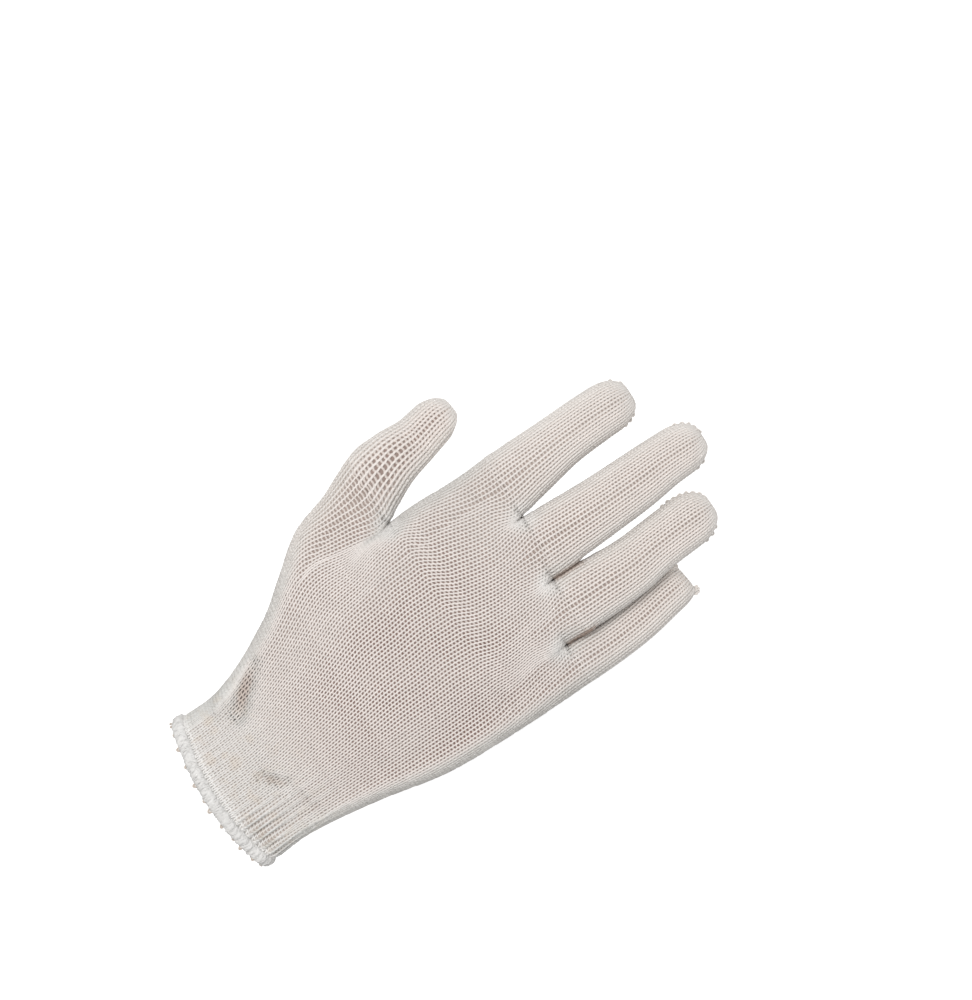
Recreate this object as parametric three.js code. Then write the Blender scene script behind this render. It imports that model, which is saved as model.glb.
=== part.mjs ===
// Knit work glove for the right hand, in the rounded form it has when it is worn.
// Frame, in millimetres: the origin is the middle of the wrist opening, +X runs towards the
// fingertips, +Y towards the thumb side and +Z out of the back of the hand.
//
// The glove is knitted without seams. Five tubes, one for each finger and the thumb, run down into the
// hand, join there at the crotches, and go on to the cuff. Each tube is a ray below. A station x across
// the hand is one closed curve: the rays' crowns joined on the back, their undersides on the palm.

import * as THREE from "three";
import { mergeVertices } from "three/addons/utils/BufferGeometryUtils.js";

// Driving sizes
const WALL = 1.5; // thickness of the knitted wall
const GAP = 0.4; // space left between two knitted sections, along the hand
const LENGTH = 227.5; // wrist edge to the tip of the middle finger
const HEM_WIDTH = 4.6; // overlocked roll along the wrist edge
const HEM_THICKNESS = 3.4;
const CUFF_END = 26; // where the elastic cuff gives way to the hand
const RIB_DEPTH = 0.35; // half the height of a cuff rib
const EDGE_BOW = 5.5; // how far the wrist edge runs back at its two sides
const BOW_LENGTH = 32; // the bow has gone this far from the edge
const SQUARENESS = 2.25; // exponent of the rounded sections: 2 is an ellipse
const WEB_ROUND = 8; // power that rounds the web between two fingers
const STUB = 3; // part of a finger tube that belongs to the hand, past its crotch
const CROWN_DRAW = 0.06; // how much closer the wales lie on a ray's crown than at its sides

// Rays, from the little finger to the thumb. Each row is one station x along the hand: lo and hi are the
// two sides (y), mid is the height of the sides, top and bottom are the crown and underside (z).
// Up to its crotch a ray shares its sides with its neighbours.
const ROW = ["x", "lo", "hi", "mid", "top", "bottom"];
const table = (rows) =>
  rows.map((row) => Object.fromEntries(ROW.map((name, i) => [name, row[i]])));
const RAYS = [
  {
    name: "little_finger",
    wales: 8,
    tipDepth: 8,
    tipWidth: 0.66,
    rows: table([
      [0, -31.5, -20.8, 0, 14.5, -14.5],
      [26, -31.2, -20.5, 0, 14.5, -15],
      [52, -34.9, -21.5, -2, 12.5, -17.5],
      [80, -40.4, -25, -4, 9.5, -19.5],
      [112, -41.7, -25.5, -6, 7, -19],
      [143, -41.3, -24, -8, 2.5, -17.5],
      [157, -41, -24, -10.5, -1.5, -19.5],
      [170, -40, -23, -13, -4.5, -21.5],
      [183, -37.8, -21.2, -16, -7.8, -24],
      [194, -36, -20.3, -19, -11.5, -26.5],
    ]),
  },
  {
    name: "ring_finger",
    wales: 11,
    tipDepth: 11.5,
    tipWidth: 0.2,
    rows: table([
      [0, -20.8, -7.8, 0, 18.5, -18.5],
      [26, -20.5, -7.5, 0, 18.5, -19],
      [52, -21.5, -5.8, -1, 17, -20],
      [80, -25, -6, -1.5, 15, -20],
      [112, -25.5, -3.5, -2, 13.2, -18.5],
      [143, -24, -1.2, -2, 10.3, -14.5],
      [152, -24.6, -1, -2, 9.5, -13],
      [165, -24.6, -0.7, -2.5, 8.5, -13],
      [178, -23.8, -1.4, -4.2, 6.5, -14.5],
      [190, -21.8, -0.8, -6.5, 3.5, -16.5],
      [205, -20.8, 0.2, -10, 0, -19.5],
      [216.5, -20, 0, -13, -3.5, -22],
    ]),
  },
  {
    name: "middle_finger",
    wales: 11,
    tipDepth: 11.5,
    tipWidth: 0.2,
    rows: table([
      [0, -7.8, 5.4, 0, 19.5, -19.5],
      [26, -7.5, 5.7, 0, 19.5, -20],
      [52, -5.8, 11, 0, 18.5, -20],
      [80, -6, 16.5, 0, 17, -19.5],
      [112, -3.5, 22.5, 0, 15.5, -17.5],
      [143, -1.2, 24.8, 0.3, 13, -13.5],
      [155, -0.7, 25, 0.3, 11.8, -11.5],
      [168, 0, 24.5, 0, 11, -11],
      [182, 0.8, 24, -1.2, 9.5, -12],
      [197, 1.8, 24, -3.2, 6.8, -13.2],
      [210, 3.4, 24, -5.8, 4, -15],
      [LENGTH, 4, 23.5, -9.2, 0, -18],
    ]),
  },
  {
    name: "index_finger",
    wales: 11,
    tipDepth: 11.5,
    tipWidth: 0.2,
    rows: table([
      [0, 5.4, 18.8, 0, 18, -18],
      [26, 5.7, 19, 0, 18.5, -19.5],
      [52, 11, 28.4, -0.5, 18, -20.5],
      [80, 16.5, 41, -1, 16.5, -21],
      [112, 22.5, 50.3, -1.5, 14.5, -18.5],
      [143, 24.8, 50.6, -0.5, 11.5, -14],
      [155, 25, 51.3, -0.5, 10.6, -12],
      [168, 27.7, 51.5, -1, 9.7, -11.5],
      [182, 30.4, 51.7, -2.5, 8, -12.5],
      [197, 31.5, 52, -5, 5, -14.5],
      [213.5, 31.8, 51.6, -9, 0, -17.5],
    ]),
  },
  {
    name: "thumb",
    wales: 8,
    tipDepth: 9.5,
    tipWidth: 0.28,
    rows: table([
      [0, 18.8, 31.5, 0, 13.5, -13.5],
      [26, 19, 33.3, -1, 14.5, -16],
      [52, 28.4, 45.4, -4, 13.5, -23],
      [66, 35, 56, -6, 11.5, -26],
      [80, 41, 66.6, -8, 9, -27],
      [96, 47, 72.2, -10, 5, -27],
      [112, 50.3, 79.3, -12.5, 0, -26],
      [124, 57.4, 81.1, -17, -6.5, -28.5],
      [136, 61.3, 80.7, -22, -13, -31.5],
      [147, 64.6, 82.3, -26.5, -18, -35.5],
      [154.5, 66.6, 82, -29.5, -21, -38.5],
    ]),
  },
];
const THUMB = RAYS.length - 1;

// Crotches, from the fingertips down. Each one is between ray number at - 1 and ray number at. The slit
// starts at x, the web below it is web long, and the rays from first up to last are one tube below it.
const CROTCHES = [
  { at: 3, x: 155, web: 16, first: 2, last: 4 },
  { at: 2, x: 152, web: 15, first: 1, last: 4 },
  { at: 1, x: 143, web: 15, first: 0, last: 4 },
  { at: 4, x: 112, web: 26, first: 0, last: 5 },
];
const SPREAD_LENGTH = 45; // wales are evenly spread this far below their crotch
const PART_LENGTH = 10; // two neighbours' sides part over this length past the crotch
const LEAN_LENGTH = 16; // a section turns square to its ray over this length past the hand

// Folds in the fabric on the back of the hand: a furrow from one point to the other.
const FOLDS = [
  { name: "thumb side of the wrist", from: [41, 34], to: [27, 21], width: 3, depth: 2.8 },
  { name: "ridge beside it", from: [33, 38], to: [21, 27], width: 3.4, depth: -1.5 },
  { name: "middle of the cuff", from: [22.5, -3], to: [28, -9.5], width: 2.4, depth: 1.5 },
  { name: "its run to the side", from: [29.5, -15], to: [33, -26], width: 2.4, depth: 0.8 },
  { name: "below the little finger", from: [112, -26], to: [113, -34], width: 2.4, depth: 0.35 },
];

const FOLD_STATIONS = [30.5, 35.5, 40.5]; // sections that catch the folds of the wrist

// Mesh density
const COLUMNS_PER_RAY = 6; // across each ray of the hand, on one face
const FINGER_COLUMNS = 6;
const SAMPLES_PER_RAY = 16; // points that measure a section before its wales are spread
const HAND_STEP = 10;
const FINGER_STEP = 9;
const DOME_STEPS = 5;

const clamp01 = (t) => Math.min(1, Math.max(0, t));
const smooth = (t) => clamp01(t) ** 2 * (3 - 2 * clamp01(t));
const mix = (a, b, t) => a + (b - a) * t;

// One column of a table at station x, on a smooth curve through its rows.
function column(rows, name, x) {
  const at = THREE.MathUtils.clamp(x, rows[0].x, rows.at(-1).x);
  const next = Math.max(1, rows.findIndex((row) => row.x >= at));
  const slope = (i) => {
    const before = rows[Math.max(0, i - 1)];
    const after = rows[Math.min(rows.length - 1, i + 1)];
    return (after[name] - before[name]) / (after.x - before.x);
  };
  const [a, b] = [rows[next - 1], rows[next]];
  const run = b.x - a.x;
  const t = (at - a.x) / run;
  return (
    a[name] * (1 + 2 * t) * (1 - t) ** 2 +
    slope(next - 1) * run * t * (1 - t) ** 2 +
    b[name] * t * t * (3 - 2 * t) +
    slope(next) * run * t * t * (t - 1)
  );
}

const crotch = (at) => CROTCHES.find((c) => c.at === at);

// How far the two rays beside a crotch are already tubes of their own: 0 below the web, 1 at the slit.
function parted(at, x) {
  const c = crotch(at);
  return clamp01((x - c.x + c.web) / c.web) ** WEB_ROUND;
}

// How far the wales have gathered into the two rays beside a crotch: 0 below the web, 1 at the slit.
function gathered(at, x) {
  const c = crotch(at);
  return smooth((x - c.x + c.web) / c.web);
}

// The crown, underside and two sides of ray k at station x, as points [y, z].
function ray(k, x) {
  const { rows } = RAYS[k];
  const own = (name, at = x) => column(rows, name, at);
  const side = (name, at, neighbour) => {
    const c = crotch(at);
    if (!c) return [own(name), own("mid")];
    const joinedAt = Math.min(x, c.x);
    const shared = column(RAYS[at].rows, "lo", joinedAt);
    const between = (own("mid", joinedAt) + column(RAYS[neighbour].rows, "mid", joinedAt)) / 2;
    if (x <= c.x) return [shared, between];
    const left = 1 - smooth((x - c.x) / PART_LENGTH);
    return [
      own(name) + (shared - own(name, c.x)) * left,
      own("mid") + (between - own("mid", c.x)) * left,
    ];
  };
  const lo = side("lo", k, k - 1);
  const hi = side("hi", k + 1, k + 1);
  const y = (lo[0] + hi[0]) / 2;
  return { lo, hi, top: [y, own("top")], bottom: [y, own("bottom")] };
}

// A quarter of a rounded section, from a side (t = 0) to a crown or underside (t = 1).
function quarter(side, crown, t) {
  const angle = (t * Math.PI) / 2 + CROWN_DRAW * Math.sin(Math.PI * t);
  const power = 2 / SQUARENESS;
  return [
    crown[0] + (side[0] - crown[0]) * Math.cos(angle) ** power,
    side[1] + (crown[1] - side[1]) * Math.sin(angle) ** power,
  ];
}

// Half of ray k's own tube, for share t across it. face is "top" or "bottom".
function tube(k, x, t, face) {
  const r = ray(k, x);
  return t < 0.5 ? quarter(r.lo, r[face], 2 * t) : quarter(r.hi, r[face], 2 - 2 * t);
}

// The fabric that bridges the crowns of rays k and k + 1, for share t of the way between them.
function bridge(k, x, t, face) {
  const crown = (i) => ray(i, x)[face];
  const tangent = (i) => {
    const here = crown(i);
    const joinedLeft = i > 0 ? 1 - gathered(i, x) : 0;
    const joinedRight = i < THUMB ? 1 - gathered(i + 1, x) : 0;
    const left = i > 0 ? crown(i - 1) : here;
    const right = i < THUMB ? crown(i + 1) : here;
    const both = joinedLeft * joinedRight;
    const run =
      (both * (right[0] - left[0])) / 2 +
      joinedLeft * (1 - joinedRight) * (here[0] - left[0]) +
      joinedRight * (1 - joinedLeft) * (right[0] - here[0]);
    return [run, (both * (right[1] - left[1])) / 2];
  };
  const [a, b, ta, tb] = [crown(k), crown(k + 1), tangent(k), tangent(k + 1)];
  return [0, 1].map(
    (i) =>
      a[i] * (1 + 2 * t) * (1 - t) ** 2 +
      ta[i] * t * (1 - t) ** 2 +
      b[i] * t * t * (3 - 2 * t) +
      tb[i] * t * t * (t - 1),
  );
}

// A point of the section at x, before the wales are spread. q counts rays: 2.5 is the middle finger's crown.
// The rays from first up to last are joined there, and their outer sides are as those of free tubes.
function rawPoint(x, q, face, first, last) {
  const k = Math.min(last - 1, Math.floor(q));
  const own = tube(k, x, q - k, face);
  const left = q - k < 0.5;
  const at = left ? k : k + 1;
  if (at <= first || at >= last) return own;
  const joined = bridge(at - 1, x, q - at + 0.5, face);
  return [mix(joined[0], own[0], gathered(at, x)), mix(joined[1], own[1], parted(at, x))];
}

// The section at x over the rays from first up to last, sampled evenly in q.
function sampled(x, face, first, last) {
  const steps = (last - first) * SAMPLES_PER_RAY;
  return Array.from({ length: steps + 1 }, (_, i) =>
    rawPoint(x, first + i / SAMPLES_PER_RAY, face, first, last),
  );
}

// Where along a sampled section, in q, a share of its length lies.
function evenPlace(points, first) {
  const along = [0];
  for (let i = 1; i < points.length; i++) {
    const [a, b] = [points[i - 1], points[i]];
    along.push(along[i - 1] + Math.hypot(b[0] - a[0], b[1] - a[1]));
  }
  return (share) => {
    const length = share * along.at(-1);
    let i = 1;
    while (i < along.length - 1 && along[i] < length) i++;
    return first + (i - 1 + (length - along[i - 1]) / (along[i] - along[i - 1])) / SAMPLES_PER_RAY;
  };
}

// One face of the section at x over the rays of a group, as a function of the wale position q.
// Well below a crotch the wales of the rays that meet there are evenly spread along the section.
function faceCurve(x, face, group) {
  const [first, last] = group;
  const points = sampled(x, face, first, last);
  const joins = CROTCHES.filter((c) => x < c.x && c.first >= first && c.last <= last).map((c) => ({
    ...c,
    even: evenPlace(sampled(x, face, c.first, c.last), c.first),
    weight: smooth((c.x - x) / SPREAD_LENGTH),
  }));
  return (q) => {
    let place = q;
    for (const c of joins.filter((c) => q > c.first && q < c.last)) {
      const share = (walesTo(q) - walesTo(c.first)) / (walesTo(c.last) - walesTo(c.first));
      place = mix(place, c.even(share), c.weight);
    }
    const i = Math.min(points.length - 2, Math.floor((place - first) * SAMPLES_PER_RAY));
    const t = (place - first) * SAMPLES_PER_RAY - i;
    return [0, 1].map((j) => mix(points[i][j], points[i + 1][j], t));
  };
}

// Wales on one face from the side of the little finger up to position q.
function walesTo(q) {
  return RAYS.reduce((sum, r, k) => sum + r.wales * clamp01(q - k), 0);
}

// How deep the folds press the back of the hand in at (x, y).
function foldDepth(x, y) {
  return FOLDS.reduce((sum, fold) => {
    const a = new THREE.Vector2(...fold.from);
    const run = new THREE.Vector2(...fold.to).sub(a);
    const p = new THREE.Vector2(x, y).sub(a);
    const t = clamp01(p.dot(run) / run.lengthSq());
    const away = p.sub(run.multiplyScalar(t)).length();
    return sum + fold.depth * Math.exp(-((away / fold.width) ** 2));
  }, 0);
}

// A point [x, y, z] of the hand's outer surface.
function onHand(x, point, face) {
  const [y, z] = point;
  const bow = EDGE_BOW * (1 - clamp01(x / BOW_LENGTH)) ** 2 * (y / RAYS[0].rows[0].lo) ** 2;
  const fold = face === "top" ? foldDepth(x, y) : 0;
  return [x + bow, y, z - fold];
}

// A surface is a list of triangles. This adds the strip between two rows of points.
function addStrip(surface, rowA, rowB) {
  for (let i = 0; i + 1 < rowA.length; i++) {
    const [a, b, c, d] = [rowA[i], rowA[i + 1], rowB[i + 1], rowB[i]];
    surface.push([a, c, b], [a, d, c]);
  }
}

// The closed ring of points at station x over a group of rays, back first and then the palm.
function ring(x, group, columns, place = onHand) {
  const count = (group[1] - group[0]) * columns;
  const share = Array.from({ length: count + 1 }, (_, i) => group[0] + i / columns);
  const top = faceCurve(x, "top", group);
  const bottom = faceCurve(x, "bottom", group);
  const back = share.map((q) => place(x, top(q), "top"));
  const palm = share.slice(1, -1).map((q) => place(x, bottom(q), "bottom"));
  return [...back, ...palm.reverse(), back[0]];
}

// Stations from a to b, closer together towards each crotch web.
function stations(a, b, step) {
  const webs = CROTCHES.filter((c) => c.at !== THUMB || b <= c.x);
  const inWebs = [0, 0.06, 0.16, 0.35].flatMap((s) => webs.map((c) => c.x - s * c.web));
  const near = [...inWebs, ...FOLD_STATIONS];
  const even = Array.from({ length: Math.ceil((b - a) / step) }, (_, i) => a + i * step);
  const inside = near.filter((x) => x > a && x < b);
  const kept = even.filter((x) => x === a || near.every((n) => Math.abs(n - x) > step / 3));
  return [...new Set([...kept, ...inside, b])].sort((p, q) => p - q);
}

// A piece of the hand over one group of rays, between two stations.
function addSpan(surface, group, from, to, columns = COLUMNS_PER_RAY, step = HAND_STEP) {
  const rings = stations(from, to, step).map((x) => ring(x, group, columns));
  for (let i = 1; i < rings.length; i++) addStrip(surface, rings[i - 1], rings[i]);
}

// A ray's base: where its own tube leaves the hand.
function baseOf(k) {
  const beside = CROTCHES.filter((c) => c.at === k || (c.at === k + 1 && c.at !== THUMB));
  return Math.max(...beside.map((c) => c.x)) + STUB;
}

// The ring of a free finger at station x. Its section leans square to the finger, and shrinks at the tip.
function fingerRing(k, x, shrink) {
  const { rows, tipWidth } = RAYS[k];
  const centre = (at) => {
    const r = ray(k, at);
    return new THREE.Vector3(at, r.top[0], (r.lo[1] + r.hi[1]) / 2);
  };
  const before = centre(Math.max(rows[0].x, x - 1));
  const along = centre(Math.min(rows.at(-1).x, x + 1)).sub(before).normalize();
  const lean = smooth((x - baseOf(k) - GAP) / LEAN_LENGTH);
  const forward = new THREE.Vector3(1, 0, 0).lerp(along, lean).normalize();
  const across = new THREE.Vector3(-forward.y, forward.x, 0).normalize();
  const up = new THREE.Vector3().crossVectors(forward, across);
  const origin = centre(x);
  const place = (_, [y, z]) => {
    const wide = (y - origin.y) * mix(tipWidth, 1, shrink);
    const p = origin.clone().addScaledVector(across, wide);
    return p.addScaledVector(up, (z - origin.z) * shrink).toArray();
  };
  return ring(x, [k, k + 1], FINGER_COLUMNS, place);
}

// The free tube of ray k, closed at its tip along a short line across the finger.
function fingerSurface(k) {
  const { rows, tipDepth } = RAYS[k];
  const start = baseOf(k) + GAP;
  const tip = rows.at(-1).x;
  const domeFrom = tip - tipDepth;
  const count = Math.round((domeFrom - start) / FINGER_STEP);
  const straight = Array.from({ length: count + 1 }, (_, i) =>
    fingerRing(k, mix(start, domeFrom, i / count), 1),
  );
  const dome = Array.from({ length: DOME_STEPS }, (_, i) => {
    const angle = ((i + 1) / DOME_STEPS) * (Math.PI / 2);
    const shrink = i + 1 === DOME_STEPS ? 0 : Math.cos(angle) ** (2 / SQUARENESS);
    return fingerRing(k, mix(domeFrom, tip, Math.sin(angle)), shrink);
  });
  // the last ring is flat, so that its palm half lies on its back half
  const seam = dome.pop().slice(0, FINGER_COLUMNS + 1);
  const rings = [...straight, ...dome, [...seam, ...seam.slice(0, -1).reverse()]];
  const surface = [];
  for (let i = 1; i < rings.length; i++) addStrip(surface, rings[i - 1], rings[i]);
  return surface;
}

// The hand: from the cuff to the start of each finger tube, with five open stubs.
function handSurface() {
  const surface = [];
  addSpan(surface, [0, 5], CUFF_END + GAP, crotch(4).x);
  addSpan(surface, [4, 5], crotch(4).x, baseOf(4));
  addSpan(surface, [0, 4], crotch(4).x, crotch(1).x);
  addSpan(surface, [0, 1], crotch(1).x, baseOf(0));
  addSpan(surface, [1, 4], crotch(1).x, crotch(2).x);
  addSpan(surface, [1, 2], crotch(2).x, baseOf(1));
  addSpan(surface, [2, 4], crotch(2).x, crotch(3).x);
  addSpan(surface, [2, 3], crotch(3).x, baseOf(2));
  addSpan(surface, [3, 4], crotch(3).x, baseOf(3));
  return surface;
}

// The cuff: two wales to a rib, one raised and one sunk, fading out towards the hand.
function cuffSurface() {
  const wales = 2 * RAYS.reduce((sum, r) => sum + r.wales, 0);
  const perFace = wales / 2;
  const rings = stations(HEM_WIDTH + GAP, CUFF_END, 5).map((x) => {
    const fade = RIB_DEPTH * (1 - 0.8 * smooth((x - HEM_WIDTH) / (CUFF_END - HEM_WIDTH)));
    const curves = { top: faceCurve(x, "top", [0, 5]), bottom: faceCurve(x, "bottom", [0, 5]) };
    const point = (face, i) => {
      const [y, z] = curves[face]((5 * i) / perFace);
      const rib = 1 + ((i % 2 ? -1 : 1) * fade) / Math.hypot(y, z);
      return onHand(x, [y * rib, z * rib], face);
    };
    const back = Array.from({ length: perFace + 1 }, (_, i) => point("top", i));
    const palm = Array.from({ length: perFace - 1 }, (_, i) => point("bottom", perFace - 1 - i));
    return [...back, ...palm, back[0]];
  });
  const surface = [];
  for (let i = 1; i < rings.length; i++) addStrip(surface, rings[i - 1], rings[i]);
  return surface;
}

function geometryOf(triangles) {
  const geometry = new THREE.BufferGeometry();
  geometry.setAttribute("position", new THREE.Float32BufferAttribute(triangles.flat(2), 3));
  return mergeVertices(geometry, 1e-3);
}

// Gives an open surface the thickness of the knit, inwards, and closes it along its open edges.
// An edge's inner point stays in the plane of its section, so that neighbouring pieces keep their gap.
function knitted(surface, leaningEdge = false) {
  const outer = geometryOf(surface);
  outer.computeVertexNormals();
  const { position, normal } = outer.attributes;
  const index = outer.index.array;
  const used = new Map();
  for (let i = 0; i < index.length; i += 3)
    for (const [a, b] of [[0, 1], [1, 2], [2, 0]].map((e) => e.map((j) => index[i + j])))
      used.set(`${a},${b}`, [a, b]);
  const open = [...used.values()].filter(([a, b]) => !used.has(`${b},${a}`));
  const onEdge = new Set(open.flat());
  const points = Array.from({ length: position.count }, (_, i) =>
    new THREE.Vector3().fromBufferAttribute(position, i),
  );
  const inner = points.map((p, i) => {
    const n = new THREE.Vector3().fromBufferAttribute(normal, i);
    if (onEdge.has(i) && !leaningEdge) n.setX(0).normalize();
    return p.clone().addScaledVector(n, -WALL);
  });
  const triangles = [];
  for (let i = 0; i < index.length; i += 3) {
    const [a, b, c] = index.slice(i, i + 3);
    triangles.push([points[a], points[b], points[c]], [inner[a], inner[c], inner[b]]);
  }
  for (const [a, b] of open)
    triangles.push([points[b], points[a], inner[a]], [points[b], inner[a], inner[b]]);
  return geometryOf(triangles.map((t) => t.map((p) => p.toArray())));
}

// The overlocked edge: a soft roll all the way round the wrist opening.
function hemGeometry() {
  const sides = 8;
  const loop = ring(HEM_WIDTH + GAP, [0, 5], COLUMNS_PER_RAY).slice(0, -1);
  const sections = loop.map(([edge, y, z]) => {
    const x = edge - GAP - HEM_WIDTH / 2;
    const out = new THREE.Vector2(y, z).normalize();
    const middle = -WALL / 2;
    return Array.from({ length: sides + 1 }, (_, i) => {
      const angle = ((i % sides) / sides) * 2 * Math.PI;
      const away = middle + (HEM_THICKNESS / 2) * Math.sin(angle);
      return [x + (HEM_WIDTH / 2) * Math.cos(angle), y + out.x * away, z + out.y * away];
    });
  });
  const surface = [];
  sections.forEach((section, i) => addStrip(surface, section, sections[(i + 1) % sections.length]));
  return geometryOf(surface);
}

// The knitted yarn is an off-white cotton mix. The overlocked edge is a whiter, fluffier thread.
const yarn = () => new THREE.MeshStandardMaterial({ color: 0xded7cf, roughness: 0.95, metalness: 0 });
const edging = () => new THREE.MeshStandardMaterial({ color: 0xe6e3df, roughness: 1, metalness: 0 });

function piece(name, geometry, material) {
  const mesh = new THREE.Mesh(geometry, material);
  mesh.name = name;
  return mesh;
}

const glove = new THREE.Group();
glove.name = "knit_work_glove";
glove.add(piece("wrist_hem", hemGeometry(), edging()));
glove.add(piece("cuff", knitted(cuffSurface()), yarn()));
glove.add(piece("hand", knitted(handSurface()), yarn()));
RAYS.forEach((r, k) => glove.add(piece(r.name, knitted(fingerSurface(k)), yarn())));

export default glove;
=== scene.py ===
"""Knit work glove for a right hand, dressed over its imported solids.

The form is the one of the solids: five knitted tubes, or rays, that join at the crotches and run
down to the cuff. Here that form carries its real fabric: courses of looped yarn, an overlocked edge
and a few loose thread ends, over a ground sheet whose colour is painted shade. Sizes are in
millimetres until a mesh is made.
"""

from __future__ import annotations

import logging
import math
from dataclasses import dataclass, field
from enum import Enum

import bmesh
import bpy
import numpy as np
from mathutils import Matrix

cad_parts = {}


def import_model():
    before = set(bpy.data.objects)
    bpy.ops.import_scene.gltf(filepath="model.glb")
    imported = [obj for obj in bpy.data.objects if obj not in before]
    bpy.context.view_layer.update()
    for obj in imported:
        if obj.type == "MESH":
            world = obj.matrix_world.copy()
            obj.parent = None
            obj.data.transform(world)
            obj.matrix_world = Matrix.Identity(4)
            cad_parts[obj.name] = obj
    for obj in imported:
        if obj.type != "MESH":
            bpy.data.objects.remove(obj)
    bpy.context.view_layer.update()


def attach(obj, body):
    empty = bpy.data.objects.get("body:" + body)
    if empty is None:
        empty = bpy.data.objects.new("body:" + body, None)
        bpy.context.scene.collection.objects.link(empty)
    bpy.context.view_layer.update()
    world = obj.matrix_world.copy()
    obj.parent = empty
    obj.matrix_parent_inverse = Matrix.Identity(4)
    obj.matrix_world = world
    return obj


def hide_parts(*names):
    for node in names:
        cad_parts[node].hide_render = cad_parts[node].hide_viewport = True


LOG = logging.getLogger("knit_work_glove")
MM = 0.001
SEED = 7

# The form, as in the solids
LENGTH = 227.5
HEM_WIDTH = 4.6
HEM_GAP = 0.4
CUFF_END = 26.0
RIB_DEPTH = 0.35
RIB_FADE = 26.0  # run past the cuff over which its ribs fade
EDGE_BOW = 5.5
BOW_LENGTH = 32.0
SQUARENESS = 2.25
WEB_ROUND = 8
STUB = 3.0
CROWN_DRAW = 0.06
SPREAD_LENGTH = 45.0
PART_LENGTH = 10.0
LEAN_LENGTH = 16.0
SAMPLES = 40
PRESSED = (1, 2)  # crotches whose two fingers lie against each other
ALONG_HAND = (1.0, 0.0, 0.0)
ALL_RAYS = (0, 5)

# The ribs of the cuff, in the yarn
RIB_LOST = 0.8  # share of their depth that is gone by the end of the cuff
RIB_ONSET = 5.0  # run from the edge over which they grow
RIB_AT_EDGE = 0.3  # share of their depth at the edge
RIB_SIDES = (0.3, 2.3)  # their depth towards the thumb and towards the little finger
RIB_SIDES_RAMP = (6.0, 12.0)

# The fabric
FABRIC_INSET = 0.85  # from the outer surface to the middle of the fabric
GROUND_INSET = 1.0
GROUND_IN_FURROW = 0.3  # how much deeper the ground lies in a furrow, to the furrow's depth
GROUND_THICKNESS = 0.25
GROUND_STEP = 2.5
GROUND_JOIN = 0.25
SEAM_OVERLAP = 0.5  # how far a finger's stitches start before its crotch
HEM_FADE = 4.0  # how far the white of the overlocked edge spreads into the cuff
SHUT_YARN = 1.4  # yarn thickness where the stitches are shut, to that where they are open
YARN_IN_COURSE = 2.2  # length of looped yarn to the length of its course
COURSE_REACH = 0.6  # run to either side from which the direction of a wale is taken
WALE_REACH = 0.3  # the same across the wales, as a share of one
DARKEST_FOLD = 2.6  # depth of a fold with the full crease shade
SHADED_FOLD = 0.5  # depth from which a fold has any
CREASE_CORE = 0.5  # nearness to its middle line from which it shows
SLUB_SCALE = 900.0
FIBRE_BEND = 0.6
FIBRE_TAPER = 0.7
LOOP_OVERRUN = 0.2  # how far a loose loop's arc runs on past half a turn
LOOP_POINTS = 11
MARKS = ("open", "shade", "pale")
UNTINTED = (1.0, 1.0, 1.0)

# Course pitch and yarn radius, from the little finger to the thumb
FINGER_KNITS = ((1.4, 0.44), (1.5, 0.44), (1.42, 0.44), (1.42, 0.44), (1.6, 0.56))

Group = tuple[int, int]
Tone = tuple[float, float, float]
Zone = tuple[str, float, float]
Line = dict[str, np.ndarray]
Socket = bpy.types.NodeSocket
Material = bpy.types.Material


class Face(Enum):
    """The two faces of a flat knitted glove."""

    BACK = "top"
    PALM = "bottom"


class Slot(Enum):
    """Material slots of the part's record."""

    YARN = "knit_yarn"
    OVERLOCK = "overlock_thread"


@dataclass(frozen=True)
class Ray:
    """One of the five knitted tubes, from the wrist to its tip.

    Each station is x, the two sides in y, the height of the sides, the crown and the underside.
    """

    name: str
    wales: int
    tip_depth: float
    tip_width: float
    stations: tuple[tuple[float, ...], ...]

    COLUMNS = ("x", "lo", "hi", "mid", "top", "bottom")

    def value(self, column: str, x: float) -> float:
        """Reads one column at station x, on a smooth curve through the table.

        Args:
            column: name of the column.
            x: station along the hand.

        Returns:
            The column's value there.
        """
        rows, c = self.stations, self.COLUMNS.index(column)
        at = min(max(x, rows[0][0]), rows[-1][0])
        nxt = max(1, next(i for i, row in enumerate(rows) if row[0] >= at))
        a, b = rows[nxt - 1], rows[nxt]
        run = b[0] - a[0]

        def slope(i: int) -> float:
            """Slope of the column at row i."""
            before, after = rows[max(0, i - 1)], rows[min(len(rows) - 1, i + 1)]
            return (after[c] - before[c]) / (after[0] - before[0])

        return float(hermite(a[c], slope(nxt - 1) * run, b[c], slope(nxt) * run, (at - a[0]) / run))

    @property
    def tip(self) -> float:
        """Station of the tip."""
        return self.stations[-1][0]


@dataclass(frozen=True)
class Crotch:
    """Where two rays part: between ray number at - 1 and ray number at.

    The fabric parts over the length of the web. Below the crotch the wales of the rays from first
    up to last, which isn't one of them, spread evenly.
    """

    at: int
    x: float
    web: float
    first: int
    last: int
    @property
    def y(self) -> float:
        """Lower side of ray number at, at the crotch."""
        return RAYS[self.at].value("lo", self.x)


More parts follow.
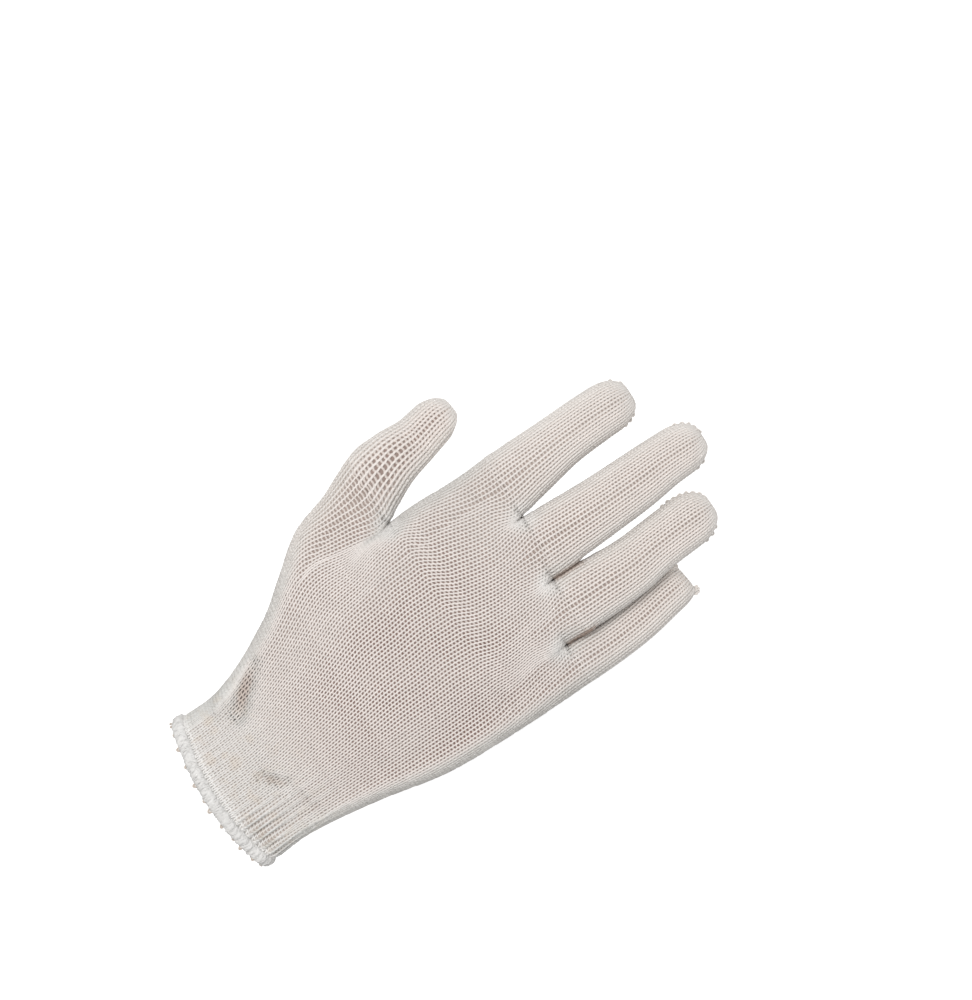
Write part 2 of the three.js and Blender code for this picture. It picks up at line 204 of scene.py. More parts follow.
@dataclass(frozen=True)
class Fold:
    """A furrow pressed into the back of the hand, from one point to another."""

    start: tuple[float, float]
    end: tuple[float, float]
    width: float
    depth: float

    def share(self, x: np.ndarray, y: np.ndarray) -> np.ndarray:
        """How far along the furrow each point lies, from 0 to 1."""
        run = np.subtract(self.end, self.start)
        return np.clip((np.column_stack((x, y)) - self.start) @ run / (run @ run), 0, 1)

    def nearness(self, x: np.ndarray, y: np.ndarray) -> np.ndarray:
        """How near each point is to the furrow's middle line, from 0 to 1."""
        middle = self.start + self.share(x, y)[:, None] * np.subtract(self.end, self.start)
        distance = np.linalg.norm(np.column_stack((x, y)) - middle, axis=1)
        return np.exp(-((distance / self.width) ** 2))

    def taper(self, x: np.ndarray, y: np.ndarray) -> np.ndarray:
        """1 at the middle of the furrow's length, fading to 0 at both ends."""
        share = self.share(x, y)
        return 4 * share * (1 - share)


RAYS = (
    Ray("little_finger", 8, 8, 0.66, (
        (0, -31.5, -20.8, 0, 14.5, -14.5),
        (26, -31.2, -20.5, 0, 14.5, -15),
        (52, -34.9, -21.5, -2, 12.5, -17.5),
        (80, -40.4, -25, -4, 9.5, -19.5),
        (112, -41.7, -25.5, -6, 7, -19),
        (143, -41.3, -24, -8, 2.5, -17.5),
        (157, -41, -24, -10.5, -1.5, -19.5),
        (170, -40, -23, -13, -4.5, -21.5),
        (183, -37.8, -21.2, -16, -7.8, -24),
        (194, -36, -20.3, -19, -11.5, -26.5),
    )),
    Ray("ring_finger", 11, 11.5, 0.2, (
        (0, -20.8, -7.8, 0, 18.5, -18.5),
        (26, -20.5, -7.5, 0, 18.5, -19),
        (52, -21.5, -5.8, -1, 17, -20),
        (80, -25, -6, -1.5, 15, -20),
        (112, -25.5, -3.5, -2, 13.2, -18.5),
        (143, -24, -1.2, -2, 10.3, -14.5),
        (152, -24.6, -1, -2, 9.5, -13),
        (165, -24.6, -0.7, -2.5, 8.5, -13),
        (178, -23.8, -1.4, -4.2, 6.5, -14.5),
        (190, -21.8, -0.8, -6.5, 3.5, -16.5),
        (205, -20.8, 0.2, -10, 0, -19.5),
        (216.5, -20, 0, -13, -3.5, -22),
    )),
    Ray("middle_finger", 11, 11.5, 0.2, (
        (0, -7.8, 5.4, 0, 19.5, -19.5),
        (26, -7.5, 5.7, 0, 19.5, -20),
        (52, -5.8, 11, 0, 18.5, -20),
        (80, -6, 16.5, 0, 17, -19.5),
        (112, -3.5, 22.5, 0, 15.5, -17.5),
        (143, -1.2, 24.8, 0.3, 13, -13.5),
        (155, -0.7, 25, 0.3, 11.8, -11.5),
        (168, 0, 24.5, 0, 11, -11),
        (182, 0.8, 24, -1.2, 9.5, -12),
        (197, 1.8, 24, -3.2, 6.8, -13.2),
        (210, 3.4, 24, -5.8, 4, -15),
        (LENGTH, 4, 23.5, -9.2, 0, -18),
    )),
    Ray("index_finger", 11, 11.5, 0.2, (
        (0, 5.4, 18.8, 0, 18, -18),
        (26, 5.7, 19, 0, 18.5, -19.5),
        (52, 11, 28.4, -0.5, 18, -20.5),
        (80, 16.5, 41, -1, 16.5, -21),
        (112, 22.5, 50.3, -1.5, 14.5, -18.5),
        (143, 24.8, 50.6, -0.5, 11.5, -14),
        (155, 25, 51.3, -0.5, 10.6, -12),
        (168, 27.7, 51.5, -1, 9.7, -11.5),
        (182, 30.4, 51.7, -2.5, 8, -12.5),
        (197, 31.5, 52, -5, 5, -14.5),
        (213.5, 31.8, 51.6, -9, 0, -17.5),
    )),
    Ray("thumb", 8, 9.5, 0.28, (
        (0, 18.8, 31.5, 0, 13.5, -13.5),
        (26, 19, 33.3, -1, 14.5, -16),
        (52, 28.4, 45.4, -4, 13.5, -23),
        (66, 35, 56, -6, 11.5, -26),
        (80, 41, 66.6, -8, 9, -27),
        (96, 47, 72.2, -10, 5, -27),
        (112, 50.3, 79.3, -12.5, 0, -26),
        (124, 57.4, 81.1, -17, -6.5, -28.5),
        (136, 61.3, 80.7, -22, -13, -31.5),
        (147, 64.6, 82.3, -26.5, -18, -35.5),
        (154.5, 66.6, 82, -29.5, -21, -38.5),
    )),
)
THUMB = len(RAYS) - 1

# From the fingertips down
CROTCHES = (
    Crotch(at=3, x=155, web=16, first=2, last=4),
    Crotch(at=2, x=152, web=15, first=1, last=4),
    Crotch(at=1, x=143, web=15, first=0, last=4),
    Crotch(at=4, x=112, web=26, first=0, last=5),
)

FOLDS = (
    Fold((41, 34), (27, 21), width=3.0, depth=2.8),
    Fold((33, 38), (21, 27), width=3.4, depth=-1.5),
    Fold((22.5, -3), (28, -9.5), width=2.4, depth=1.5),
    Fold((29.5, -15), (33, -26), width=2.4, depth=0.8),
    Fold((112, -26), (113, -34), width=2.4, depth=0.35),
)


def hermite(a, ta, b, tb, t):
    """Blends from a to b with tangents ta and tb, for t from 0 to 1."""
    return (
        a * (1 + 2 * t) * (1 - t) ** 2
        + ta * t * (1 - t) ** 2
        + b * t * t * (3 - 2 * t)
        + tb * t * t * (t - 1)
    )


def smooth(t: float) -> float:
    """Smooth step of t, held between 0 and 1."""
    t = min(1.0, max(0.0, t))
    return t * t * (3 - 2 * t)


def mix(a, b, t):
    """Straight blend of a and b."""
    return a + (b - a) * t


def crotch(at: int) -> Crotch | None:
    """The crotch below ray number at, if it has one."""
    return next((c for c in CROTCHES if c.at == at), None)

def finger_base(k: int) -> float:
    """Station of the last crotch beside a finger or the thumb."""
    return max(c.x for c in CROTCHES if c.at == k or (c.at == k + 1 and c.at != THUMB))


@dataclass
class GloveForm:
    """The outer surface of the glove, one closed ring at a time."""

    sides_known: dict[tuple[int, float], dict[str, np.ndarray]] = field(default_factory=dict)
    sections_known: dict[tuple, tuple[np.ndarray, np.ndarray]] = field(default_factory=dict)

    def parted(self, at: int, x: float) -> float:
        """How far the rays beside a crotch are tubes of their own, from 0 to 1."""
        c = crotch(at)
        return min(1.0, max(0.0, (x - c.x + c.web) / c.web)) ** WEB_ROUND

    def gathered(self, at: int, x: float) -> float:
        """How far the wales have gathered into the rays beside a crotch, from 0 to 1."""
        c = crotch(at)
        return smooth((x - c.x + c.web) / c.web)

    def ray(self, k: int, x: float) -> dict[str, np.ndarray]:
        """The crown, underside and two sides of a ray.

        Args:
            k: number of the ray.
            x: station along the hand.

        Returns:
            Points (y, z) named lo, hi, top and bottom.
        """
        known = self.sides_known.get((k, x))
        if known is not None:
            return known

        def side(column: str, at: int, neighbour: int) -> np.ndarray:
            """One side, shared with the neighbour below their crotch."""
            c = crotch(at)
            own = np.array((RAYS[k].value(column, x), RAYS[k].value("mid", x)))
            if c is None:
                return own
            joined_at = min(x, c.x)
            start = np.array((RAYS[k].value(column, c.x), RAYS[k].value("mid", joined_at)))
            between = (start[1] + RAYS[neighbour].value("mid", joined_at)) / 2
            joined = np.array((RAYS[at].value("lo", joined_at), between))
            if x <= c.x:
                return joined
            return own + (joined - start) * (1 - smooth((x - c.x) / PART_LENGTH))

        lo, hi = side("lo", k, k - 1), side("hi", k + 1, k + 1)
        y = (lo[0] + hi[0]) / 2
        top, bottom = RAYS[k].value("top", x), RAYS[k].value("bottom", x)
        made = {"lo": lo, "hi": hi, "top": np.array((y, top)), "bottom": np.array((y, bottom))}
        self.sides_known[(k, x)] = made
        return made

    def tube(self, k: int, x: float, t: np.ndarray, face: Face) -> np.ndarray:
        """One face of a ray's own tube, for shares t across it."""
        r = self.ray(k, x)
        crown = r[face.value]
        side = np.where(t[:, None] < 0.5, r["lo"], r["hi"])
        angle = np.minimum(t, 1 - t) * math.pi
        angle = angle + CROWN_DRAW * np.sin(2 * angle)
        power = 2 / SQUARENESS
        y = crown[0] + (side[:, 0] - crown[0]) * np.clip(np.cos(angle), 0, 1) ** power
        z = side[:, 1] + (crown[1] - side[:, 1]) * np.clip(np.sin(angle), 0, 1) ** power
        return np.column_stack((y, z))

    def bridge(self, k: int, x: float, t: np.ndarray, face: Face) -> np.ndarray:
        """The fabric from the crown of ray k to the crown of ray k + 1."""

        def tangent(i: int) -> np.ndarray:
            """Direction of the joined fabric over the crown of ray i."""
            here = self.ray(i, x)[face.value]
            left = self.ray(i - 1, x)[face.value] if i > 0 else here
            right = self.ray(i + 1, x)[face.value] if i < THUMB else here
            from_left = 1 - self.gathered(i, x) if i > 0 else 0.0
            from_right = 1 - self.gathered(i + 1, x) if i < THUMB else 0.0
            both = from_left * from_right
            run = both * (right[0] - left[0]) / 2
            run += from_left * (1 - from_right) * (here[0] - left[0])
            run += from_right * (1 - from_left) * (right[0] - here[0])
            return np.array((run, both * (right[1] - left[1]) / 2))

        a, b = self.ray(k, x)[face.value], self.ray(k + 1, x)[face.value]
        return hermite(a, tangent(k), b, tangent(k + 1), t[:, None])

    def sampled(self, x: float, group: Group, face: Face) -> tuple[np.ndarray, np.ndarray]:
        """The section at x over a group, whose rays are joined and whose outer sides are free.

        Args:
            x: station along the hand.
            group: first ray and the one after the last.
            face: back or palm.

        Returns:
            Even places q, which count rays, and the point (y, z) at each.
        """
        known = self.sections_known.get((x, group, face))
        if known is not None:
            return known
        first, last = group
        q = np.linspace(first, last, (last - first) * SAMPLES + 1)
        owner = np.minimum(last - 1, np.floor(q + 1e-9)).astype(int)
        points = np.empty((len(q), 2))
        for k in range(first, last):
            mine = owner == k
            points[mine] = self.tube(k, x, q[mine] - k, face)
        for at in range(first + 1, last):
            near = np.abs(q - at) <= 0.5
            joined = self.bridge(at - 1, x, q[near] - at + 0.5, face)
            own = points[near]
            own[:, 0] = mix(joined[:, 0], own[:, 0], self.gathered(at, x))
            own[:, 1] = mix(joined[:, 1], own[:, 1], self.parted(at, x))
            points[near] = own
        self.sections_known[(x, group, face)] = (q, points)
        return q, points

    def face_line(self, x: float, group: Group, face: Face, wale: np.ndarray) -> np.ndarray:
        """One face of the section at x, from its first side to its last.

        Args:
            x: station along the hand.
            group: first ray and the one after the last.
            face: back or palm.
            wale: wale counts from the first side.

        Returns:
            Points (y, z), one for each wale count.
        """
        first, last = group
        q, points = self.sampled(x, group, face)
        knots = np.concatenate(([0.0], np.cumsum([RAYS[k].wales for k in range(first, last)])))
        place = np.interp(wale, knots, np.arange(first, last + 1))
        for c in CROTCHES:
            if x < c.x and first <= c.first and c.last <= last:
                inner, curve = self.sampled(x, (c.first, c.last), face)
                steps = np.linalg.norm(np.diff(curve, axis=0), axis=1)
                along = np.concatenate(([0.0], np.cumsum(steps)))
                low, high = knots[c.first - first], knots[c.last - first]
                inside = (wale > low) & (wale < high)
                share = (wale[inside] - low) / (high - low)
                even = np.interp(share * along[-1], along, inner)
                place[inside] = mix(place[inside], even, smooth((c.x - x) / SPREAD_LENGTH))
        return np.column_stack([np.interp(place, q, points[:, i]) for i in (0, 1)])

    def wales(self, group: Group) -> int:
        """Wales on one face of a group of rays."""
        return sum(RAYS[k].wales for k in range(*group))

    def loop(self, x: float, group: Group, wale: np.ndarray) -> np.ndarray:
        """Points (y, z) round the whole section at x, the back first and then the palm."""
        count = self.wales(group)
        turn = np.mod(wale, 2 * count)
        back = turn <= count
        out = np.empty((len(turn), 2))
        out[back] = self.face_line(x, group, Face.BACK, turn[back])
        out[~back] = self.face_line(x, group, Face.PALM, 2 * count - turn[~back])
        return out


def eased(t: np.ndarray) -> np.ndarray:
    """Smooth step of each value, held between 0 and 1."""
    t = np.clip(t, 0.0, 1.0)
    return t * t * (3 - 2 * t)


def ramp(values: np.ndarray, start: float, run: float) -> np.ndarray:
    """Smooth step that begins at start and ends after run."""
    return eased((values - start) / run)


def fold_depth(x: np.ndarray, y: np.ndarray) -> np.ndarray:
    """How deep the folds press the back of the hand in at each point."""
    return sum(fold.depth * fold.nearness(x, y) for fold in FOLDS)


def crease(x: np.ndarray, y: np.ndarray) -> np.ndarray:
    """Thin shade along the middle of the deeper folds, from 0 to 1."""
    shades = [
        min(1.0, fold.depth / DARKEST_FOLD)
        * fold.taper(x, y)
        * ramp(fold.nearness(x, y), CREASE_CORE, 1 - CREASE_CORE)
        for fold in FOLDS
        if fold.depth > SHADED_FOLD
    ]
    return np.max(shades, axis=0)


@dataclass(frozen=True)
class Stretch:
    """How the hand inside stretches the fabric.

    The stitches open on the flat of the hand. They stay shut at its sides, at the cuff and where
    the fabric is drawn together at a crotch. A pair with no comment gives where a change starts,
    and its length.
    """

    # station and openness there, on the flat
    along: tuple[tuple[float, float], ...] = (
        (0.0, 0.36),
        (24.0, 0.42),
        (32.0, 0.62),
        (46.0, 0.76),
        (62.0, 0.95),
        (118.0, 1.0),
        (142.0, 0.72),
        (LENGTH, 0.6),
    )
    # shut stitches also get the yarn's painted shade, so the sides that turn from the light come
    # out darker
    shut_below: float = 0.5  # how far the surface faces up or down
    open_above: float = 0.95
    side_band: float = 8.5
    thumb_open: tuple[float, float] = (0.82, 1.6)  # at its base and at its tip, to the hand's
    thumb_along: tuple[float, float] = (108.0, 36.0)
    thumb_across: tuple[float, float] = (50.0, 12.0)
    wave: float = 0.16
    wave_runs: tuple[float, float] = (8.5, 7.0)  # along the hand and across it
    wave_bend: tuple[float, float] = (1.3, 9.0)  # how far the waves bend, and over what run
    wave_slant: float = 23.0
    upper_shut: float = 0.2
    upper_across: tuple[float, float] = (16.0, 18.0)
    crotch_back: float = 1.0
    crotch_reach: float = 8.0
    slit_onset: float = 1.5
    slit_lead: float = 0.4  # how far the onset has come at the crotch itself
    slit_end: tuple[float, float] = (9.0, 5.0)
    slit_reach: float = 3.0
    slit_raised: float = 0.75
    slit_shade: float = 0.8
    slit_shade_reach: float = 0.9
    pucker_back: float = 3.0
    # at a crotch whose fingers part the pale sits at its apex, where it also paints light over the
    # shadow
    pucker_back_parted: float = 0.5
    pucker_reach: float = 4.5
    pucker_pale: float = 0.65
    furrow_shut: float = 0.2
    furrow_full: float = 1.2
    crease_shade: float = 0.4

    def openness(self, points: np.ndarray, outward: np.ndarray) -> np.ndarray:
        """How open the stitches are at each point, from 0 to 1."""
        x, y = points[:, 0], points[:, 1]
        stations, values = np.transpose(self.along)
        facing = np.abs(outward[:, 2]) - self.shut_below
        flat = eased(facing / (self.open_above - self.shut_below))
        open_here = np.interp(x, stations, values) * flat
        open_here *= self.away_from_sides(x, y)
        thumb = mix(*self.thumb_open, ramp(x, *self.thumb_along))
        open_here *= mix(1.0, thumb, ramp(y, *self.thumb_across))
        open_here *= 1 - self.wave * self.uneven(x, y)
        open_here *= 1 - self.upper_shut * ramp(y, *self.upper_across)
        for c in CROTCHES:
            away = np.linalg.norm(points[:, :2] - (c.x - self.crotch_back, c.y), axis=1)
            open_here *= eased(away / self.crotch_reach)
        return open_here

    def uneven(self, x: np.ndarray, y: np.ndarray) -> np.ndarray:
        """Slow unevenness of the stretch over the hand, from 0 to 1."""
        (run, side_run), (bend, bend_run) = self.wave_runs, self.wave_bend
        along = np.sin(x / run + bend * np.sin(y / bend_run))
        return 0.5 + 0.5 * along * np.cos(y / side_run + x / self.wave_slant)

    def away_from_sides(self, x: np.ndarray, y: np.ndarray) -> np.ndarray:
        """How clear points are of the shut bands along both sides of the glove."""
        low = np.transpose(RAYS[0].stations)
        high = np.transpose(RAYS[THUMB].stations)
        below = eased((y - np.interp(x, low[0], low[1])) / self.side_band)
        above = eased((np.interp(x, high[0], high[2]) - y) / self.side_band)
        return below * np.where(x < crotch(THUMB).x, above, 1.0)

    def pressed(self, points: np.ndarray, reach: float) -> np.ndarray:
        """How far two fingers press together at the start of their slit, from 0 to 1."""
        total = np.zeros(len(points))
        for c in CROTCHES:
            if c.at in PRESSED:
                past = points[:, 0] - c.x
                near = eased(past / self.slit_onset + self.slit_lead)
                near *= 1 - ramp(past, *self.slit_end)
                total += near * np.exp(-(((points[:, 1] - c.y) / reach) ** 2))
        return np.minimum(total, 1.0)

    def drawn(self, points: np.ndarray) -> np.ndarray:
        """How far the fabric is drawn into a pale pucker below a crotch, from 0 to 1; at a parted
        crotch it sits at the apex and also paints light over the shadow there.
        """
        total = np.zeros(len(points))
        for c in CROTCHES:
            back = self.pucker_back if c.at in PRESSED else self.pucker_back_parted
            away = np.linalg.norm(points[:, :2] - (c.x - back, c.y), axis=1)
            total += np.exp(-((away / self.pucker_reach) ** 2))
        return np.minimum(total, 1.0)


STRETCH = Stretch()


@dataclass(frozen=True)
class Tube:
    """A stretch of knitting over a group of rays, between two stations."""

    form: GloveForm
    group: Group
    begin: float
    end: float

    @property
    def wales(self) -> int:
        """Wales on one face."""
        return self.form.wales(self.group)

    def ring(self, s: float, wale: np.ndarray) -> np.ndarray:
        """Points (x, y, z) of the outer surface at station s.

        Args:
            s: station along the tube.
            wale: wale counts round the tube, from the side of the little finger over the back.

        Returns:
            One point for each wale count.
        """
        y, z = self.form.loop(s, self.group, wale).T
        if s < CUFF_END + RIB_FADE:
            fade = 1 - RIB_LOST * smooth((s - HEM_WIDTH) / (CUFF_END - HEM_WIDTH))
            fade *= 1 - smooth((s - CUFF_END) / RIB_FADE)
            fade *= smooth((s - HEM_WIDTH) / RIB_ONSET + RIB_AT_EDGE)
            depth = RIB_DEPTH * mix(*RIB_SIDES, ramp(-y, *RIB_SIDES_RAMP))
            rib = 1 + depth * fade * np.cos(math.pi * wale) / np.hypot(y, z)
            y, z = y * rib, z * rib
        bow = EDGE_BOW * max(0.0, 1 - s / BOW_LENGTH) ** 2 * (y / RAYS[0].stations[0][1]) ** 2
        on_back = np.mod(wale, 2 * self.wales) <= self.wales
        z = z - np.where(on_back, fold_depth(np.full(len(y), s), y), 0.0)
        return np.column_stack((s + bow, y, z))


@dataclass(frozen=True)
class FingerTube(Tube):
    """A free finger, closed at its tip along a short line across the finger.

    The stitches lie a little wider at its sides than along its back.
    """

    side_spread: float = 0.07
    spread_length: float = 14.0
    tip_half_height: float = 9.0

    @property
    def dome_from(self) -> float:
        """Station where the tip starts to close."""
        ray = RAYS[self.group[0]]
        return ray.tip - ray.tip_depth

    @property
    def dome_length(self) -> float:
        """Length of the closing tip, along the fabric."""
        return 0.5 * math.pi * (RAYS[self.group[0]].tip_depth + self.tip_half_height) / 2

    def centre(self, x: float) -> np.ndarray:
        """Middle of the finger's section."""
        r = self.form.ray(self.group[0], x)
        return np.array((x, r["top"][0], (r["lo"][1] + r["hi"][1]) / 2))

    def ring(self, s: float, wale: np.ndarray) -> np.ndarray:
        """Points of the finger's surface at station s, which counts along the fabric of the tip."""
        k = self.group[0]
        ray = RAYS[k]
        angle = min(1.0, max(0.0, (s - self.dome_from) / self.dome_length)) * math.pi / 2
        x = mix(self.dome_from, ray.tip, math.sin(angle)) if s > self.dome_from else s
        shrink = max(0.0, math.cos(angle)) ** (2 / SQUARENESS)
        lean = smooth((x - finger_base(k) - STUB - HEM_GAP) / LEAN_LENGTH)
        along = self.centre(min(ray.tip, x + 1)) - self.centre(max(0.0, x - 1))
        forward = mix(np.array(ALONG_HAND), along / np.linalg.norm(along), lean)
        forward /= np.linalg.norm(forward)
        across = np.array((-forward[1], forward[0], 0.0))
        across /= np.linalg.norm(across)
        up = np.cross(forward, across)
        origin = self.centre(x)
        turn = 2 * math.pi * wale / self.wales
        spread = self.side_spread * smooth((x - finger_base(k)) / self.spread_length)
        evened = wale + spread * self.wales / (2 * math.pi) * np.sin(turn)
        y, z = self.form.loop(x, self.group, evened).T
        wide = (y - origin[1]) * mix(ray.tip_width, 1.0, shrink)
        high = (z - origin[2]) * shrink
        return origin + wide[:, None] * across + high[:, None] * up


@dataclass(frozen=True)
class Knit:
    """Stitch sizes of one stretch of knitting."""

    course_pitch: float = 1.5
    yarn_radius: float = 0.38
    loop_bulge: float = 1.0
    loop_height: float = 0.75
    loop_depth: float = 0.12
    arc_fullness: float = 0.3
    points_per_loop: int = 8
    yarn_sides: int = 4


@dataclass(frozen=True)
class Wiring:
    """Adds nodes to a tree and joins them."""

    tree: bpy.types.NodeTree

    def fill(self, node: bpy.types.Node, inputs: dict) -> None:
        """Sets a node's inputs, by name or number, to values or sockets."""
        for key, value in inputs.items():
            if isinstance(value, Socket):
                self.tree.links.new(value, node.inputs[key])
            else:
                node.inputs[key].default_value = value

    def add(self, kind: str, inputs: dict, **settings) -> bpy.types.Node:
        """Adds a node.

        Args:
            kind: Blender's name of the node.
            inputs: values or sockets, by input name or number.
            settings: properties of the node.

        Returns:
            The node.
        """
        node = self.tree.nodes.new(kind)
        for name, value in settings.items():
            setattr(node, name, value)
        self.fill(node, inputs)
        return node

    def math(self, operation: str, *values) -> Socket:
        """Adds a Math node."""
        return self.add("ShaderNodeMath", dict(enumerate(values)), operation=operation).outputs[0]

    def vector(self, operation: str, inputs: dict) -> Socket:
        """Adds a Vector Math node."""
        return self.add("ShaderNodeVectorMath", inputs, operation=operation).outputs[0]

    def scaled(self, vector, by) -> Socket:
        """A vector times a number."""
        return self.vector("SCALE", {0: vector, "Scale": by})

    def added(self, *vectors) -> Socket:
        """The sum of vectors."""
        total = vectors[0]
        for vector in vectors[1:]:
            total = self.vector("ADD", {0: total, 1: vector})
        return total

    def attribute(self, name: str, kind: str = "FLOAT") -> Socket:
        """Reads a named attribute of the geometry."""
        node = self.add("GeometryNodeInputNamedAttribute", {"Name": name}, data_type=kind)
        return node.outputs["Attribute"]

    def stored(self, geometry: Socket, name: str, value: Socket, kind: str = "FLOAT") -> Socket:
        """Keeps a value as a named attribute of the geometry."""
        inputs = {"Geometry": geometry, "Name": name, "Value": value}
        return self.add("GeometryNodeStoreNamedAttribute", inputs, data_type=kind).outputs[0]

    def mark(self, name: str, output: str = "Fac") -> Socket:
        """Reads a named attribute in a material."""
        return self.add("ShaderNodeAttribute", {}, attribute_name=name).outputs[output]

    def place(self) -> Socket:
        """Object coordinates in a material."""
        return self.add("ShaderNodeTexCoord", {}).outputs["Object"]

    def noise(self, inputs: dict, output: str = "Fac") -> Socket:
        """Adds a noise texture."""
        return self.add("ShaderNodeTexNoise", inputs).outputs[output]

    def ranged(self, value, first: float, last: float, most: float = 1.0, **settings) -> Socket:
        """Carries a value that runs from first to last over to 0 to most."""
        inputs = {"Value": value, "From Min": first, "From Max": last, "To Max": most}
        return self.add("ShaderNodeMapRange", inputs, **settings).outputs[0]

    def blend(self, factor, start, end, kind: str = "MIX") -> Socket:
        """Blends two colours, each a socket or red, green and blue."""
        colours = [c if isinstance(c, Socket) else (*c, 1.0) for c in (start, end)]
        inputs = {"Factor": factor, 6: colours[0], 7: colours[1]}
        return self.add("ShaderNodeMix", inputs, data_type="RGBA", blend_type=kind).outputs[2]


@dataclass
class ThreadTree:
    """Base of the Geometry Nodes trees that turn guide lines into threads."""

    name: str
    sizes: dict[str, float]
    tree: bpy.types.NodeTree = field(init=False)
    wiring: Wiring = field(init=False)
    entry: bpy.types.NodeOutputs = field(init=False)

    def __post_init__(self) -> None:
        """Makes the tree with its named inputs."""
        self.tree = bpy.data.node_groups.new(self.name, "GeometryNodeTree")
        sockets = self.tree.interface
        sockets.new_socket("Geometry", in_out="INPUT", socket_type="NodeSocketGeometry")
        for name, size in self.sizes.items():
            kind = "NodeSocketInt" if isinstance(size, int) else "NodeSocketFloat"
            sockets.new_socket(name, in_out="INPUT", socket_type=kind).default_value = size
        sockets.new_socket("Material", in_out="INPUT", socket_type="NodeSocketMaterial")
        sockets.new_socket("Geometry", in_out="OUTPUT", socket_type="NodeSocketGeometry")
        self.wiring = Wiring(self.tree)
        self.entry = self.wiring.add("NodeGroupInput", {}).outputs
        self.build()

    def build(self) -> None:
        """Fills the tree. Each kind of thread has its own."""
        raise NotImplementedError

    def moved(self, geometry: Socket, offset: Socket) -> Socket:
        """Moves the points of a geometry."""
        inputs = {"Geometry": geometry, "Offset": offset}
        return self.wiring.add("GeometryNodeSetPosition", inputs).outputs[0]

    def wobble(self, scale: float) -> Socket:
        """A small wandering of the thread, fixed in space."""
        noise = self.wiring.noise({"Scale": scale, "Detail": 1.0}, "Color")
        centred = self.wiring.vector("SUBTRACT", {0: noise, 1: (0.5, 0.5, 0.5)})
        return self.wiring.scaled(centred, self.entry["Wobble"])

    def leave(self, geometry: Socket) -> None:
        """Gives the thread its material and ends the tree."""
        real = self.wiring.add("GeometryNodeRealizeInstances", {"Geometry": geometry}).outputs[0]
        inputs = {"Geometry": real, "Material": self.entry["Material"]}
        dressed = self.wiring.add("GeometryNodeSetMaterial", inputs).outputs[0]
        self.wiring.add("NodeGroupOutput", {0: dressed})

    def spin(self, guides: Socket, offset: Socket, slub: float) -> None:
        """Gives moved guide lines a round section, as thick as their attribute full says.

        Args:
            guides: mesh of the guide lines.
            offset: how far each of their points moves.
            slub: how uneven the thread's thickness is.
        """
        w = self.wiring
        moved = self.moved(guides, offset)
        lines = w.add("GeometryNodeMeshToCurve", {"Mesh": moved}).outputs[0]
        size = {"Resolution": self.entry["Yarn sides"], "Radius": self.entry["Yarn radius"]}
        circle = w.add("GeometryNodeCurvePrimitiveCircle", size).outputs[0]
        place = w.add("GeometryNodeInputPosition", {}).outputs[0]
        unit = w.vector("NORMALIZE", {0: place})
        profile = w.stored(circle, "around", unit, "FLOAT_VECTOR")
        noise = w.noise({"Scale": SLUB_SCALE, "Detail": 1.0})
        uneven = w.math("MULTIPLY_ADD", noise, 2 * slub, 1 - slub)
        uneven = w.math("MULTIPLY", uneven, w.attribute("full"))
        inputs = {"Curve": lines, "Profile Curve": profile, "Scale": uneven, "Fill Caps": True}
        mesh = w.add("GeometryNodeCurveToMesh", inputs).outputs[0]
        self.leave(w.add("GeometryNodeSetShadeSmooth", {"Geometry": mesh}).outputs[0])


class CourseTree(ThreadTree):
    """Knits guide rings into courses of loops: each phase turn is one stitch."""

    WOBBLE_SCALE = 420.0
    SLUB = 0.12

    def build(self) -> None:
        """Loops the yarn sideways, up and down, and in and out of the fabric."""
        w, entry = self.wiring, self.entry
        phase = w.attribute("phase")
        twice = w.math("MULTIPLY", phase, 2.0)
        sideways = w.math("MULTIPLY", w.math("SINE", twice), entry["Loop bulge"])
        rise = w.math("MULTIPLY", w.math("COSINE", phase), entry["Loop height"])
        relief = w.math("MULTIPLY", w.math("COSINE", twice), -1.0)
        depth = w.math("MULTIPLY", relief, entry["Loop depth"])
        offset = w.added(
            w.scaled(w.attribute("wale", "FLOAT_VECTOR"), sideways),
            w.scaled(w.attribute("course", "FLOAT_VECTOR"), rise),
            w.scaled(w.attribute("outward", "FLOAT_VECTOR"), depth),
            self.wobble(self.WOBBLE_SCALE),
        )
        marked = w.stored(entry["Geometry"], "relief", relief)
        arc = w.math("MULTIPLY_ADD", relief, -0.5, 0.5)
        fuller = w.math("MULTIPLY_ADD", arc, entry["Arc fullness"], 1.0)
        full = w.math("MULTIPLY", w.attribute("full"), fuller)
        self.spin(w.stored(marked, "full", full), offset, self.SLUB)


class OverlockTree(ThreadTree):
    """Wraps thread round the wrist edge: each phase turn is one wrap."""

    WOBBLE_SCALE = 700.0
    SLUB = 0.25

    def build(self) -> None:
        """Carries the thread over, round and under the edge."""
        w, entry = self.wiring, self.entry
        phase = w.attribute("phase")
        wide = w.math("MULTIPLY", w.math("COSINE", phase), entry["Half width"])
        high = w.math("MULTIPLY", w.math("SINE", phase), entry["Half thickness"])
        offset = w.added(
            w.scaled(w.attribute("course", "FLOAT_VECTOR"), wide),
            w.scaled(w.attribute("outward", "FLOAT_VECTOR"), high),
            self.wobble(self.WOBBLE_SCALE),
        )
        self.spin(entry["Geometry"], offset, self.SLUB)


